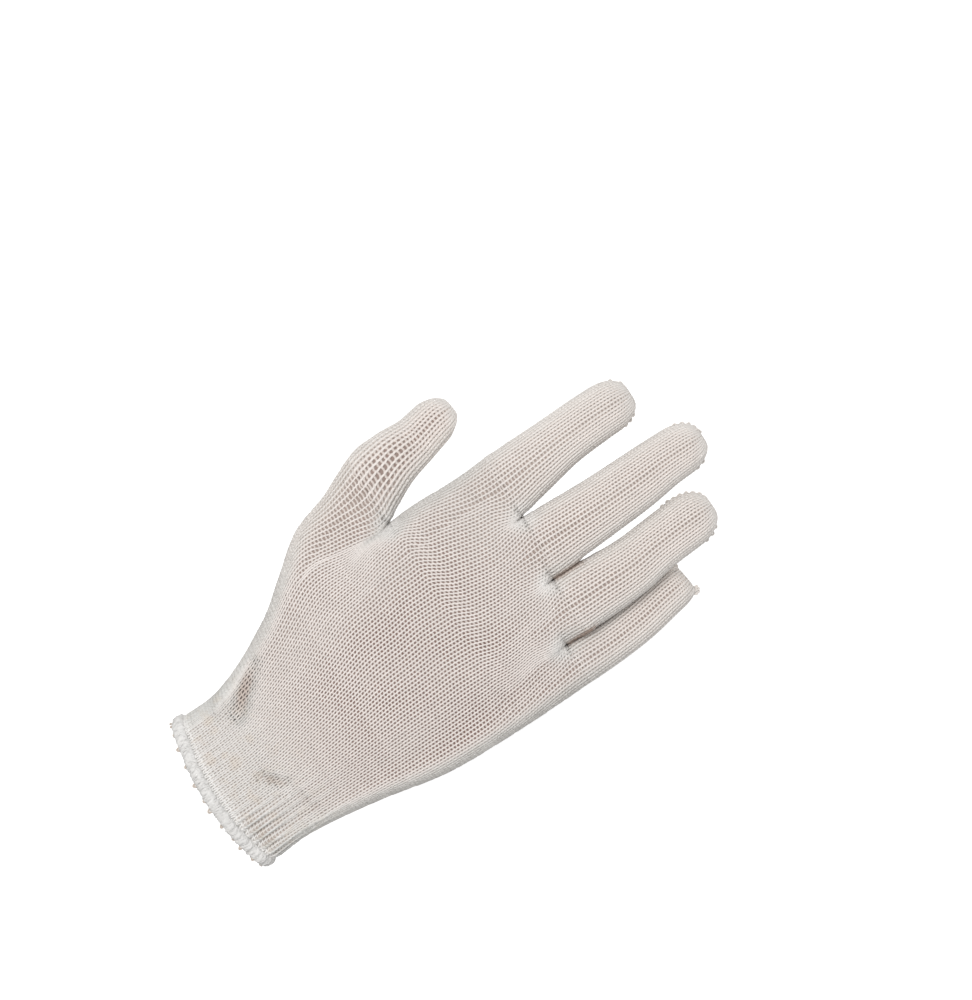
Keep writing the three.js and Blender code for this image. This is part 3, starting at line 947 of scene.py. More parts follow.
class FuzzTree(ThreadTree):
    """Grows short loose fibres on a surface."""

    def build(self) -> None:
        """Scatters bent fibres, leaning every way."""
        w, entry = self.wiring, self.entry
        inputs = {key: entry[key] for key in ("Density", "Seed")}
        inputs["Mesh"] = entry["Geometry"]
        scatter = w.add("GeometryNodeDistributePointsOnFaces", inputs).outputs
        ends = {"Start": (0, 0, 0), "End": (0, 0, MM)}
        straight = w.add("GeometryNodeCurvePrimitiveLine", ends).outputs[0]
        fibre = w.add("GeometryNodeResampleCurve", {"Curve": straight, "Count": 4}).outputs[0]
        height = w.add("GeometryNodeSplineParameter", {}).outputs["Factor"]
        bend = w.math("MULTIPLY", w.math("MULTIPLY", height, height), FIBRE_BEND * MM)
        bent = self.moved(fibre, w.add("ShaderNodeCombineXYZ", {"X": bend}).outputs[0])
        size = {"Resolution": 3, "Radius": entry["Fibre radius"]}
        circle = w.add("GeometryNodeCurvePrimitiveCircle", size).outputs[0]
        taper = w.math("MULTIPLY_ADD", height, -FIBRE_TAPER, 1.0)
        inputs = {"Curve": bent, "Profile Curve": circle, "Scale": taper, "Fill Caps": True}
        tube = w.add("GeometryNodeCurveToMesh", inputs).outputs[0]
        inputs = {0: (-1.0, -1.0, -1.0), 1: (1.0, 1.0, 1.0), "Seed": 3}
        lean = w.add("FunctionNodeRandomValue", inputs, data_type="FLOAT_VECTOR").outputs[0]
        way = {"Vector": w.added(scatter["Normal"], lean)}
        turn = w.add("FunctionNodeAlignRotationToVector", way, axis="Z").outputs[0]
        inputs = {2: 0.4, 3: 1.0, "Seed": 5}
        share = w.add("FunctionNodeRandomValue", inputs, data_type="FLOAT").outputs[1]
        long = w.math("MULTIPLY", share, entry["Fibre length"])
        scale = w.add("ShaderNodeCombineXYZ", {"X": 1.0, "Y": 1.0, "Z": long}).outputs[0]
        inputs = {"Points": scatter["Points"], "Instance": tube, "Rotation": turn, "Scale": scale}
        self.leave(w.add("GeometryNodeInstanceOnPoints", inputs).outputs[0])


def placed(name: str, data: bpy.types.ID) -> bpy.types.Object:
    """Makes an object of a mesh, camera or light and puts it in the scene."""
    made = bpy.data.objects.new(name, data)
    bpy.context.scene.collection.objects.link(made)
    return made


def soft_piece(name: str, mesh: bpy.types.Mesh, material: Material) -> bpy.types.Object:
    """Makes a piece of a mesh, with soft shading and its material."""
    for polygon in mesh.polygons:
        polygon.use_smooth = True
    mesh.materials.append(material)
    return placed(name, mesh)


def write_floats(mesh: bpy.types.Mesh, key: str, values: list[np.ndarray]) -> None:
    """Keeps one number for each point of a mesh."""
    layer = mesh.attributes.new(key, "FLOAT", "POINT")
    layer.data.foreach_set("value", np.concatenate(values))


def grow(
    name: str,
    guide: bpy.types.Mesh,
    tree: bpy.types.NodeTree,
    sizes: dict[str, float],
    material: Material,
) -> bpy.types.Object:
    """Runs a tree over a guide mesh and keeps the result as a plain mesh.

    Args:
        name: name of the piece.
        guide: mesh that the tree starts from.
        tree: Geometry Nodes tree.
        sizes: values of its named inputs.
        material: material of the piece.

    Returns:
        The piece, with no modifier left.
    """
    stand = placed(name + "_guide", guide)
    modifier = stand.modifiers.new("Thread", "NODES")
    modifier.node_group = tree
    values = dict(sizes, Material=material)
    for socket in tree.interface.items_tree:
        if socket.in_out == "INPUT" and socket.name in values:
            modifier[socket.identifier] = values[socket.name]
    depsgraph = bpy.context.evaluated_depsgraph_get()
    mesh = bpy.data.meshes.new_from_object(stand.evaluated_get(depsgraph), depsgraph=depsgraph)
    stand.modifiers.remove(modifier)
    bpy.data.objects.remove(stand)
    mesh.name = name
    for left in ("phase", "full", "wale", "course", "outward"):
        if left in mesh.attributes:
            mesh.attributes.remove(mesh.attributes[left])
    return placed(name, mesh)


def guide_mesh(name: str, lines: list[Line], closed: bool) -> bpy.types.Mesh:
    """Makes guide lines with the directions that a thread tree reads.

    Args:
        name: name of the mesh.
        lines: for each line its points, phase, length along, fullness, and wale, course and
            outward vectors, in mm, and if it has them its openness, shade and paleness.
        closed: whether each line ends where it starts.

    Returns:
        A mesh of edges, in metres.
    """
    counts = [len(line["points"]) for line in lines]
    starts = np.concatenate(([0], np.cumsum(counts)[:-1])).astype(int)
    edges = []
    for start, count in zip(starts, counts):
        a = np.arange(count if closed else count - 1)
        edges.append(np.column_stack((start + a, start + (a + 1) % count)))
    edges = np.vstack(edges)
    mesh = bpy.data.meshes.new(name)
    mesh.vertices.add(sum(counts))
    mesh.vertices.foreach_set("co", np.vstack([line["points"] for line in lines]).ravel() * MM)
    mesh.edges.add(len(edges))
    mesh.edges.foreach_set("vertices", edges.ravel().astype(np.int32))
    for key in ("phase", "along", "full", *MARKS):
        if key in lines[0]:
            write_floats(mesh, key, [line[key] for line in lines])
    for key in ("wale", "course", "outward"):
        layer = mesh.attributes.new(key, "FLOAT_VECTOR", "POINT")
        layer.data.foreach_set("vector", np.vstack([line[key] for line in lines]).ravel() * MM)
    mesh.update()
    return mesh


def framed_ring(tube: Tube, s: float, wale: np.ndarray, pitch: float) -> Line:
    """A ring of a tube with its directions.

    Args:
        tube: stretch of knitting.
        s: station along it.
        wale: wale counts round it.
        pitch: distance to the next course.

    Returns:
        Points, the vector of one wale and one course, the unit normal, the share of the usual
        inset, the depth of a furrow, and how open, shaded and pale the stitches are, in mm.
    """
    before, after = max(tube.begin, s - COURSE_REACH), min(tube.end, s + COURSE_REACH)
    course = (tube.ring(after, wale) - tube.ring(before, wale)) * (pitch / (after - before))
    side = (tube.ring(s, wale + WALE_REACH) - tube.ring(s, wale - WALE_REACH)) / (2 * WALE_REACH)
    outward = np.cross(course, side)
    outward /= np.maximum(np.linalg.norm(outward, axis=1), 1e-9)[:, None]
    points = tube.ring(s, wale)
    pressed = STRETCH.pressed(points, STRETCH.slit_reach)
    slit = STRETCH.slit_shade * STRETCH.pressed(points, STRETCH.slit_shade_reach)
    on_back = outward[:, 2] > 0
    furrow = on_back * fold_depth(points[:, 0], points[:, 1])
    creased = STRETCH.crease_shade * on_back * crease(points[:, 0], points[:, 1])
    shut = STRETCH.furrow_shut * eased(furrow / STRETCH.furrow_full)
    pucker = STRETCH.pucker_pale * STRETCH.drawn(points) * (1 - pressed)
    return {
        "points": points,
        "side": side,
        "course": course,
        "outward": outward,
        "inset": (1 - STRETCH.slit_raised * pressed)[:, None],
        "furrow": np.maximum(furrow, 0.0)[:, None],
        "open": STRETCH.openness(points, outward) * (1 - shut),
        "shade": np.maximum(slit, creased),
        "pale": np.maximum(pucker, 1 - smooth((s - HEM_WIDTH) / HEM_FADE)),
    }


def knitted(tubes: list[Tube], knit: Knit, name: str) -> bpy.types.Mesh:
    """Guide rings of all the courses of some tubes.

    Args:
        tubes: stretches of knitting.
        knit: stitch sizes.
        name: name of the guide mesh.

    Returns:
        The guide mesh.
    """
    lines = []
    for tube in tubes:
        count = max(1, round((tube.end - tube.begin) / knit.course_pitch))
        pitch = (tube.end - tube.begin) / count
        per_loop = knit.points_per_loop
        wale = np.arange(2 * tube.wales * per_loop) / per_loop
        for i in range(count):
            ring = framed_ring(tube, tube.begin + (i + 0.5) * pitch, wale, pitch)
            steps = np.linalg.norm(ring["side"], axis=1) / per_loop
            lines.append(
                {
                    **ring,
                    "points": ring["points"] - FABRIC_INSET * ring["inset"] * ring["outward"],
                    "phase": 2 * math.pi * np.mod(wale, 1.0),
                    "along": np.cumsum(steps) * YARN_IN_COURSE * MM,
                    "full": mix(SHUT_YARN, 1.0, ring["open"]),
                    "wale": ring["side"] / (2 * math.pi),
                }
            )
    return guide_mesh(name, lines, closed=True)


def shade_sheet(name: str, tubes: list[Tube], material: Material) -> bpy.types.Object:
    """The closed sheet between the loops, as a thin wall in painted shade.

    Args:
        name: name of the piece.
        tubes: stretches of knitting that it runs through.
        material: its material.

    Returns:
        The piece.
    """
    verts: list[np.ndarray] = []
    marks: dict[str, list[np.ndarray]] = {key: [] for key in MARKS}
    faces: list[tuple[int, ...]] = []
    for tube in tubes:
        wale = np.arange(4 * tube.wales) / 2
        n = len(wale)
        count = max(1, math.ceil((tube.end - tube.begin) / GROUND_STEP))
        start = sum(len(v) for v in verts)
        for i in range(count + 1):
            ring = framed_ring(tube, mix(tube.begin, tube.end, i / count), wale, 1.0)
            depth = GROUND_INSET * ring["inset"] + GROUND_IN_FURROW * ring["furrow"]
            verts.append(ring["points"] - depth * ring["outward"])
            for key, values in marks.items():
                values.append(ring[key])
            if i:
                a, b = start + (i - 1) * n, start + i * n
                faces += [(a + j, b + j, b + (j + 1) % n, a + (j + 1) % n) for j in range(n)]
    mesh = bpy.data.meshes.new(name)
    mesh.from_pydata((np.vstack(verts) * MM).tolist(), [], faces)
    for key, values in marks.items():
        write_floats(mesh, key, values)
    work = bmesh.new()
    work.from_mesh(mesh)
    bmesh.ops.remove_doubles(work, verts=work.verts, dist=GROUND_JOIN * MM)
    bmesh.ops.dissolve_degenerate(work, edges=work.edges, dist=1e-6)
    work.to_mesh(mesh)
    work.free()
    piece = soft_piece(name, mesh, material)
    wall = piece.modifiers.new("Wall", "SOLIDIFY")
    wall.thickness = GROUND_THICKNESS * MM
    wall.offset = -1
    return piece


def shader_group(
    name: str, inputs: dict[str, float], outputs: tuple[str, ...]
) -> tuple[Wiring, bpy.types.NodeOutputs, bpy.types.Node]:
    """Makes an empty shader node group.

    Args:
        name: name of the group.
        inputs: named numbers with their defaults.
        outputs: names of the masks that it puts out.

    Returns:
        Its wiring, the sockets of its inputs and its output node.
    """
    tree = bpy.data.node_groups.new(name, "ShaderNodeTree")
    for key, value in inputs.items():
        socket = tree.interface.new_socket(key, in_out="INPUT", socket_type="NodeSocketFloat")
        socket.default_value = value
    for key in outputs:
        tree.interface.new_socket(key, in_out="OUTPUT", socket_type="NodeSocketFloat")
    return Wiring(tree), tree.nodes.new("NodeGroupInput").outputs, tree.nodes.new("NodeGroupOutput")


def twist_group() -> bpy.types.NodeTree:
    """Masks of a twisted thread: the strands that wind round it, and its loose fibres."""
    sizes = {"Strands": 3.0, "Twist": 1400.0}
    w, entry, leave = shader_group("Twisted thread", sizes, ("Strand", "Fibre"))
    split = w.add("ShaderNodeSeparateXYZ", {0: w.mark("around", "Vector")}).outputs
    angle = w.math("ARCTAN2", split["Y"], split["X"])
    turned = w.math("MULTIPLY", angle, entry["Strands"])
    wound = w.math("MULTIPLY_ADD", w.mark("along"), entry["Twist"], turned)
    strand = w.math("MULTIPLY_ADD", w.math("SINE", wound), 0.5, 0.5)
    fibre = w.noise({"Vector": w.place(), "Scale": 3800.0, "Detail": 3.0})
    w.fill(leave, {"Strand": strand, "Fibre": fibre})
    return w.tree


def wear_group() -> bpy.types.NodeTree:
    """Masks of slow unevenness in a knitted fabric, of its finer mottling and of stains."""
    scales = {"Patch": 28.0, "Mottle": 260.0, "Stain": 210.0}
    sizes = {f"{key} scale": scale for key, scale in scales.items()}
    w, entry, leave = shader_group("Fabric unevenness", sizes, tuple(scales))
    place = w.place()
    for key, detail in (("Patch", 2.0), ("Mottle", 2.0), ("Stain", 1.0)):
        noise = w.noise({"Vector": place, "Scale": entry[f"{key} scale"], "Detail": detail})
        w.fill(leave, {key: noise})
    return w.tree


def new_material(name: str) -> tuple[Material, Wiring, bpy.types.Node]:
    """Makes a material and returns it with its wiring and its shader."""
    material = bpy.data.materials.new(name)
    material.use_nodes = True
    tree = material.node_tree
    return material, Wiring(tree), tree.nodes["Principled BSDF"]


@dataclass(frozen=True)
class ThreadFinish:
    """Spun thread: matt, soft and slightly fuzzy."""

    name: str
    light: Tone
    shade: Tone
    # painted shade of the loops where they sink into the fabric
    sunk_shade: Tone
    strands: float = 3.0
    twist: float = 1400.0
    strand_height: float = 0.05
    roughness: float = 0.95
    specular: float = 0.2
    sheen: float = 0.25
    sheen_roughness: float = 0.6
    bump: float = 0.7
    mottle: float = 260.0
    # shares of slow patches, mottling and strands in the thread's tone, and of fibres in its bump
    patch_share: float = 0.5
    mottle_share: float = 0.7
    strand_share: float = 0.25
    fibre_share: float = 0.6
    raised_above: float = 0.4
    shut_power: float = 1.4
    stains: tuple[float, float, float] = (0.5, 0.7, 0.35)  # from, to and strength
    # painted shade: the yarn greys where its stitches are shut, most along the sides that turn from
    # the light; lighter on the fingers
    shut_shade_tint: Tone = UNTINTED
    shut_shade_tint_of_fingers: Tone = UNTINTED
    cuff_tint: Tone = UNTINTED
    finger_tint: Tone = UNTINTED
    stain_tint: Tone = UNTINTED
    pale_tone: Tone = (0.80, 0.785, 0.765)
    shade_tint: Tone = (0.5, 0.35, 0.27)
    # axis, and where a zone starts and is fully reached, in metres
    cuff_zone: Zone = ("X", 0.05, 0.015)
    fingers_zone: Zone = ("X", 0.135, 0.175)
    thumb_zone: Zone = ("Y", 0.048, 0.068)

    def material(self, twist: bpy.types.NodeTree, wear: bpy.types.NodeTree) -> Material:
        """Builds the material.

        Args:
            twist: node group of a twisted thread.
            wear: node group of fabric unevenness.

        Returns:
            The material.
        """
        material, w, shader = new_material(self.name)
        turns = {"Strands": self.strands, "Twist": self.twist}
        wound = w.add("ShaderNodeGroup", turns, node_tree=twist).outputs
        worn = w.add("ShaderNodeGroup", {"Mottle scale": self.mottle}, node_tree=wear).outputs
        raised = w.ranged(w.mark("relief"), -1.0, self.raised_above)
        uneven = w.math("MULTIPLY_ADD", worn["Patch"], self.patch_share, 0.0)
        uneven = w.math("MULTIPLY_ADD", worn["Mottle"], self.mottle_share, uneven)
        uneven = w.math("MULTIPLY_ADD", wound["Strand"], self.strand_share, uneven)
        # the sunk parts of the loops take painted shade
        colour = w.blend(raised, self.sunk_shade, w.blend(uneven, self.shade, self.light))
        height = w.math("MULTIPLY_ADD", wound["Fibre"], self.fibre_share, wound["Strand"])
        strand = {"Strength": self.bump, "Distance": self.strand_height * MM, "Height": height}
        look = {
            "Base Color": self.tinted(w, colour, worn["Stain"]),
            "Normal": w.add("ShaderNodeBump", strand).outputs[0],
            "Roughness": self.roughness,
            "Specular IOR Level": self.specular,
            "Sheen Weight": self.sheen,
            "Sheen Roughness": self.sheen_roughness,
        }
        w.fill(shader, look)
        return material

    def tinted(self, w: Wiring, colour: Socket, stain: Socket) -> Socket:
        """The thread's colour, greyed by painted shade where stitches are shut, stained, white at
        the edge or shaded.

        Args:
            w: wiring of the material.
            colour: colour of the thread in open fabric.
            stain: mask of faint stains.

        Returns:
            The changed colour.
        """
        opened, shade, pale = (w.mark(key) for key in MARKS)
        # Painted shade where the stitches are shut: at the sides that turn from the light, in
        # furrows and at the crotches
        shut = w.math("POWER", w.math("SUBTRACT", 1.0, opened), self.shut_power)
        spots = w.ranged(stain, *self.stains)
        axes = w.add("ShaderNodeSeparateXYZ", {0: w.place()}).outputs
        at_cuff, past_knuckles, past_thumb_base = (
            w.ranged(axes[axis], first, last, interpolation_type="SMOOTHSTEP")
            for axis, first, last in (self.cuff_zone, self.fingers_zone, self.thumb_zone)
        )
        on_finger = w.math("MAXIMUM", past_knuckles, past_thumb_base)
        shut_shade_on_finger = w.math("MULTIPLY", shut, on_finger)
        for factor, tone, kind in (
            (w.math("SUBTRACT", shut, shut_shade_on_finger), self.shut_shade_tint, "MULTIPLY"),
            (shut_shade_on_finger, self.shut_shade_tint_of_fingers, "MULTIPLY"),
            (at_cuff, self.cuff_tint, "MULTIPLY"),
            (on_finger, self.finger_tint, "MULTIPLY"),
            (w.math("MULTIPLY", at_cuff, spots), self.stain_tint, "MULTIPLY"),
            (pale, self.pale_tone, "MIX"),
            (shade, self.shade_tint, "MULTIPLY"),
        ):
            colour = w.blend(factor, colour, tone, kind)
        return colour


@dataclass(frozen=True)
class GroundShade:
    """Painted shade seen between the loops, standing for the glove's dark inside, darker where the
    stitches are open.
    """

    name: str
    shut: Tone
    light: Tone
    dark: Tone
    pale: Tone = (0.72, 0.7, 0.675)
    specular: float = 0.1
    bump: float = 0.5
    grain: float = 0.1

    def material(self, wear: bpy.types.NodeTree) -> Material:
        """Builds the material from the node group of fabric unevenness."""
        material, w, shader = new_material(self.name)
        mottle = w.add("ShaderNodeGroup", {}, node_tree=wear).outputs["Mottle"]
        through = w.blend(mottle, self.dark, self.light)
        colour = w.blend(w.mark("open"), self.shut, through)
        for key, tone in (("shade", self.dark), ("pale", self.pale)):
            colour = w.blend(w.mark(key), colour, tone)
        grain = {"Strength": self.bump, "Distance": self.grain * MM, "Height": mottle}
        look = {
            "Base Color": colour,
            "Normal": w.add("ShaderNodeBump", grain).outputs[0],
            "Roughness": 1.0,
            "Specular IOR Level": self.specular,
        }
        w.fill(shader, look)
        return material


@dataclass
class Workroom:
    """Materials and thread trees that the sections share."""

    yarn: Material = field(init=False)
    overlock: Material = field(init=False)
    knots: Material = field(init=False)
    ground: Material = field(init=False)
    courses: ThreadTree = field(init=False)
    wraps: ThreadTree = field(init=False)
    fuzz: ThreadTree = field(init=False)

    def __post_init__(self) -> None:
        """Makes the materials and trees once."""
        twist, wear = twist_group(), wear_group()
        self.yarn = ThreadFinish(
            "Spun off-white yarn",
            light=(0.815, 0.757, 0.725),
            shade=(0.705, 0.648, 0.615),
            sunk_shade=(0.62, 0.55, 0.51),
            sheen=0.03,
            shut_shade_tint=(0.83, 0.87, 0.87),
            shut_shade_tint_of_fingers=(0.93, 0.96, 0.965),
            cuff_tint=(1.025, 1.045, 1.055),
            finger_tint=(1.02, 1.015, 1.005),
            stain_tint=(0.94, 0.84, 0.72),
        ).material(twist, wear)
        self.overlock = ThreadFinish(
            "Fluffy overlock thread",
            light=(0.81, 0.8, 0.785),
            shade=(0.58, 0.565, 0.545),
            sunk_shade=(0.64, 0.625, 0.605),
            strands=2.0,
            twist=2200.0,
            strand_height=0.25,
            sheen=0.1,
            mottle=900.0,
        ).material(twist, wear)
        self.knots = ThreadFinish(
            "Tan thread ends",
            light=(0.6, 0.53, 0.47),
            shade=(0.5, 0.43, 0.37),
            sunk_shade=(0.44, 0.37, 0.32),
        ).material(twist, wear)
        # painted shade seen through the open stitches, on the sheet under the loops
        self.ground = GroundShade(
            "Shaded knit ground",
            shut=(0.56, 0.51, 0.465),
            light=(0.25, 0.165, 0.14),
            dark=(0.165, 0.105, 0.09),
        ).material(wear)
        self.courses = CourseTree("Knitted courses", self.knit_sizes(Knit()))
        self.wraps = OverlockTree("Overlock wraps", self.wrap_sizes(0.4, 4, 0.1))
        self.fuzz = FuzzTree("Loose fibres", self.fibre_sizes(0.0))

    @staticmethod
    def knit_sizes(knit: Knit) -> dict[str, float]:
        """Inputs of the tree of knitted courses."""
        return {
            "Loop bulge": knit.loop_bulge,
            "Loop height": knit.loop_height,
            "Loop depth": knit.loop_depth,
            "Arc fullness": knit.arc_fullness,
            "Yarn radius": knit.yarn_radius * MM,
            "Yarn sides": knit.yarn_sides,
            "Wobble": 0.16 * MM,
        }

    @staticmethod
    def wrap_sizes(
        radius: float, sides: int, wobble: float, wide: float = 0.0, high: float = 0.0
    ) -> dict[str, float]:
        """Inputs of the tree of wraps, which lie straight where they have no width or height."""
        return {
            "Half width": wide,
            "Half thickness": high,
            "Yarn radius": radius * MM,
            "Yarn sides": sides,
            "Wobble": wobble * MM,
        }

    @staticmethod
    def fibre_sizes(density: float) -> dict[str, float]:
        """Inputs of the tree of loose fibres, so many to a square metre."""
        return {"Density": density, "Fibre length": 1.3, "Fibre radius": 0.05 * MM, "Seed": SEED}

    def knit(self, name: str, tubes: list[Tube], knit: Knit) -> bpy.types.Object:
        """Knits the yarn of some tubes."""
        guide = knitted(tubes, knit, name + "_guide")
        return grow(name, guide, self.courses.tree, self.knit_sizes(knit), self.yarn)

    def thread(
        self, name: str, lines: list[Line], material: Material, radius: float
    ) -> bpy.types.Object:
        """Spins thread of a radius in mm along open guide lines."""
        guide = guide_mesh(name + "_guide", lines, closed=False)
        return grow(name, guide, self.wraps.tree, self.wrap_sizes(radius, 5, 0.5), material)

    def fluff(self, name: str, surface: bpy.types.Object, density: float) -> bpy.types.Object:
        """Grows loose fibres on a piece, so many to a square metre."""
        sizes = self.fibre_sizes(density)
        return grow(name, surface.data.copy(), self.fuzz.tree, sizes, self.overlock)


def loose_loop(
    foot: np.ndarray, along: np.ndarray, out: np.ndarray, half_width: float, height: float
) -> Line:
    """A guide line for one loop of thread that stands out of the fabric.

    Args:
        foot: middle of its foot.
        along: direction between its two feet.
        out: direction that it stands in.
        half_width: half the distance between its feet.
        height: how far it stands out.

    Returns:
        The guide line.
    """
    arc = np.linspace(-LOOP_OVERRUN, math.pi + LOOP_OVERRUN, LOOP_POINTS)
    along = along / np.linalg.norm(along)
    out = out / np.linalg.norm(out)
    wide = half_width * np.cos(arc)[:, None] * along
    still = np.zeros((len(arc), 3))
    return {
        "points": foot + wide + height * np.sin(arc)[:, None] * out,
        "phase": np.zeros(len(arc)),
        "along": arc * MM,
        "full": np.ones(len(arc)),
        "wale": still,
        "course": still,
        "outward": still,
    }


def finish_piece(piece: bpy.types.Object, slot: Slot, *nodes: str) -> None:
    """Rides a piece on the glove and reports it.

    Args:
        piece: the finished piece.
        slot: material slot of the record; not used.
        nodes: solids that it stands for.
    """
    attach(piece, "root")
    if nodes:
        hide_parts(*nodes)
    triangles = sum(len(p.vertices) - 2 for p in piece.data.polygons)
    LOG.info("%s: %d triangles", piece.name, triangles)


@dataclass(frozen=True)
class LoopRow:
    """A row of stitches that stand out of a fingertip, where it was closed.

    It runs along one wale, between two distances from the end of the tube.
    """

    wale: float
    first: float
    last: float
    count: int
    height: float = 0.25
    height_varies: tuple[float, float] = (0.7, 2.4)  # by how much, and turn from loop to loop
    least_height: float = 0.5
    foot_depth: float = 0.6
    half_width: float = 0.7

    def lines(self, tube: FingerTube) -> list[Line]:
        """Guide lines of the row."""
        made = []
        for i, before_end in enumerate(np.linspace(self.first, self.last, self.count)):
            ring = framed_ring(tube, tube.end - before_end, np.array([self.wale]), 1.0)
            point, course, outward = (ring[key][0] for key in ("points", "course", "outward"))
            varies, turn = self.height_varies
            height = self.height * (1 + varies * math.sin(turn * i + self.wale))
            height += self.least_height
            foot = point - self.foot_depth * outward
            made.append(loose_loop(foot, course, outward, self.half_width, height))
        return made


# Rows that break the outline of each fingertip, by the number of its ray
LOOP_ROWS = {
    0: (
        LoopRow(0.3, 0.6, 5.0, 6, 0.8),
        LoopRow(7.8, 2.0, 8.0, 4),
        LoopRow(0.9, 0.6, 3.4, 5, 0.8),
    ),
    1: (
        LoopRow(11.0, 8.0, 20.0, 6, 0.2),
        LoopRow(10.6, 2.0, 8.0, 3, 0.1),
        LoopRow(0.2, 8.0, 14.0, 3),
    ),
    2: (
        LoopRow(10.6, 3.0, 12.0, 4, 0.2),
        LoopRow(7.5, 1.0, 5.0, 3),
        LoopRow(0.3, 10.0, 13.0, 2, 0.1),
    ),
    3: (LoopRow(0.3, 8.0, 13.0, 3, 0.1), LoopRow(10.5, 4.0, 9.0, 2, 0.1)),
    4: (),
}


@dataclass
class Finger:
    """A free finger or the thumb."""

    form: GloveForm
    number: int
    knit: Knit
    loop_radius: float = 0.36

    def build(self, room: Workroom) -> None:
        """Makes the finger's ground, yarn and loose loops."""
        ray = RAYS[self.number]
        base, group = finger_base(self.number), (self.number, self.number + 1)
        probe = FingerTube(self.form, group, base, ray.tip)
        end = probe.dome_from + probe.dome_length
        tube = FingerTube(self.form, group, base - SEAM_OVERLAP, end)
        ground = shade_sheet(ray.name + "_ground", [tube], room.ground)
        finish_piece(ground, Slot.YARN, ray.name)
        yarn = room.knit(ray.name + "_yarn", [tube], self.knit)
        finish_piece(yarn, Slot.YARN, ray.name)
        lines = [line for row in LOOP_ROWS[self.number] for line in row.lines(tube)]
        if lines:
            loops = room.thread(ray.name + "_loops", lines, room.yarn, self.loop_radius)
            finish_piece(loops, Slot.YARN, ray.name)


@dataclass
class Hand:
    """Palm, back of the hand and the crotches."""

    form: GloveForm
    split: float = 66.0
    lower: Knit = Knit(course_pitch=1.55, yarn_radius=0.3, arc_fullness=0.5)
    upper: Knit = Knit(course_pitch=1.5, yarn_radius=0.35)

    def build(self, room: Workroom) -> None:
        """Makes the hand's ground and yarn."""
        below = Tube(self.form, ALL_RAYS, CUFF_END, self.split)
        above = Tube(self.form, ALL_RAYS, self.split, crotch(4).x)
        knuckles = [
            Tube(self.form, (0, 4), crotch(4).x, crotch(1).x),
            Tube(self.form, (1, 4), crotch(1).x, crotch(2).x),
            Tube(self.form, (2, 4), crotch(2).x, crotch(3).x),
        ]
        ground = shade_sheet("hand_ground", [below, above, *knuckles], room.ground)
        finish_piece(ground, Slot.YARN, "hand")
        for name, tubes, knit in (
            ("hand_yarn_lower", [below], self.lower),
            ("hand_yarn_upper", [above], self.upper),
            ("hand_yarn_knuckles", knuckles, self.upper),
        ):
            finish_piece(room.knit(name, tubes, knit), Slot.YARN, "hand")


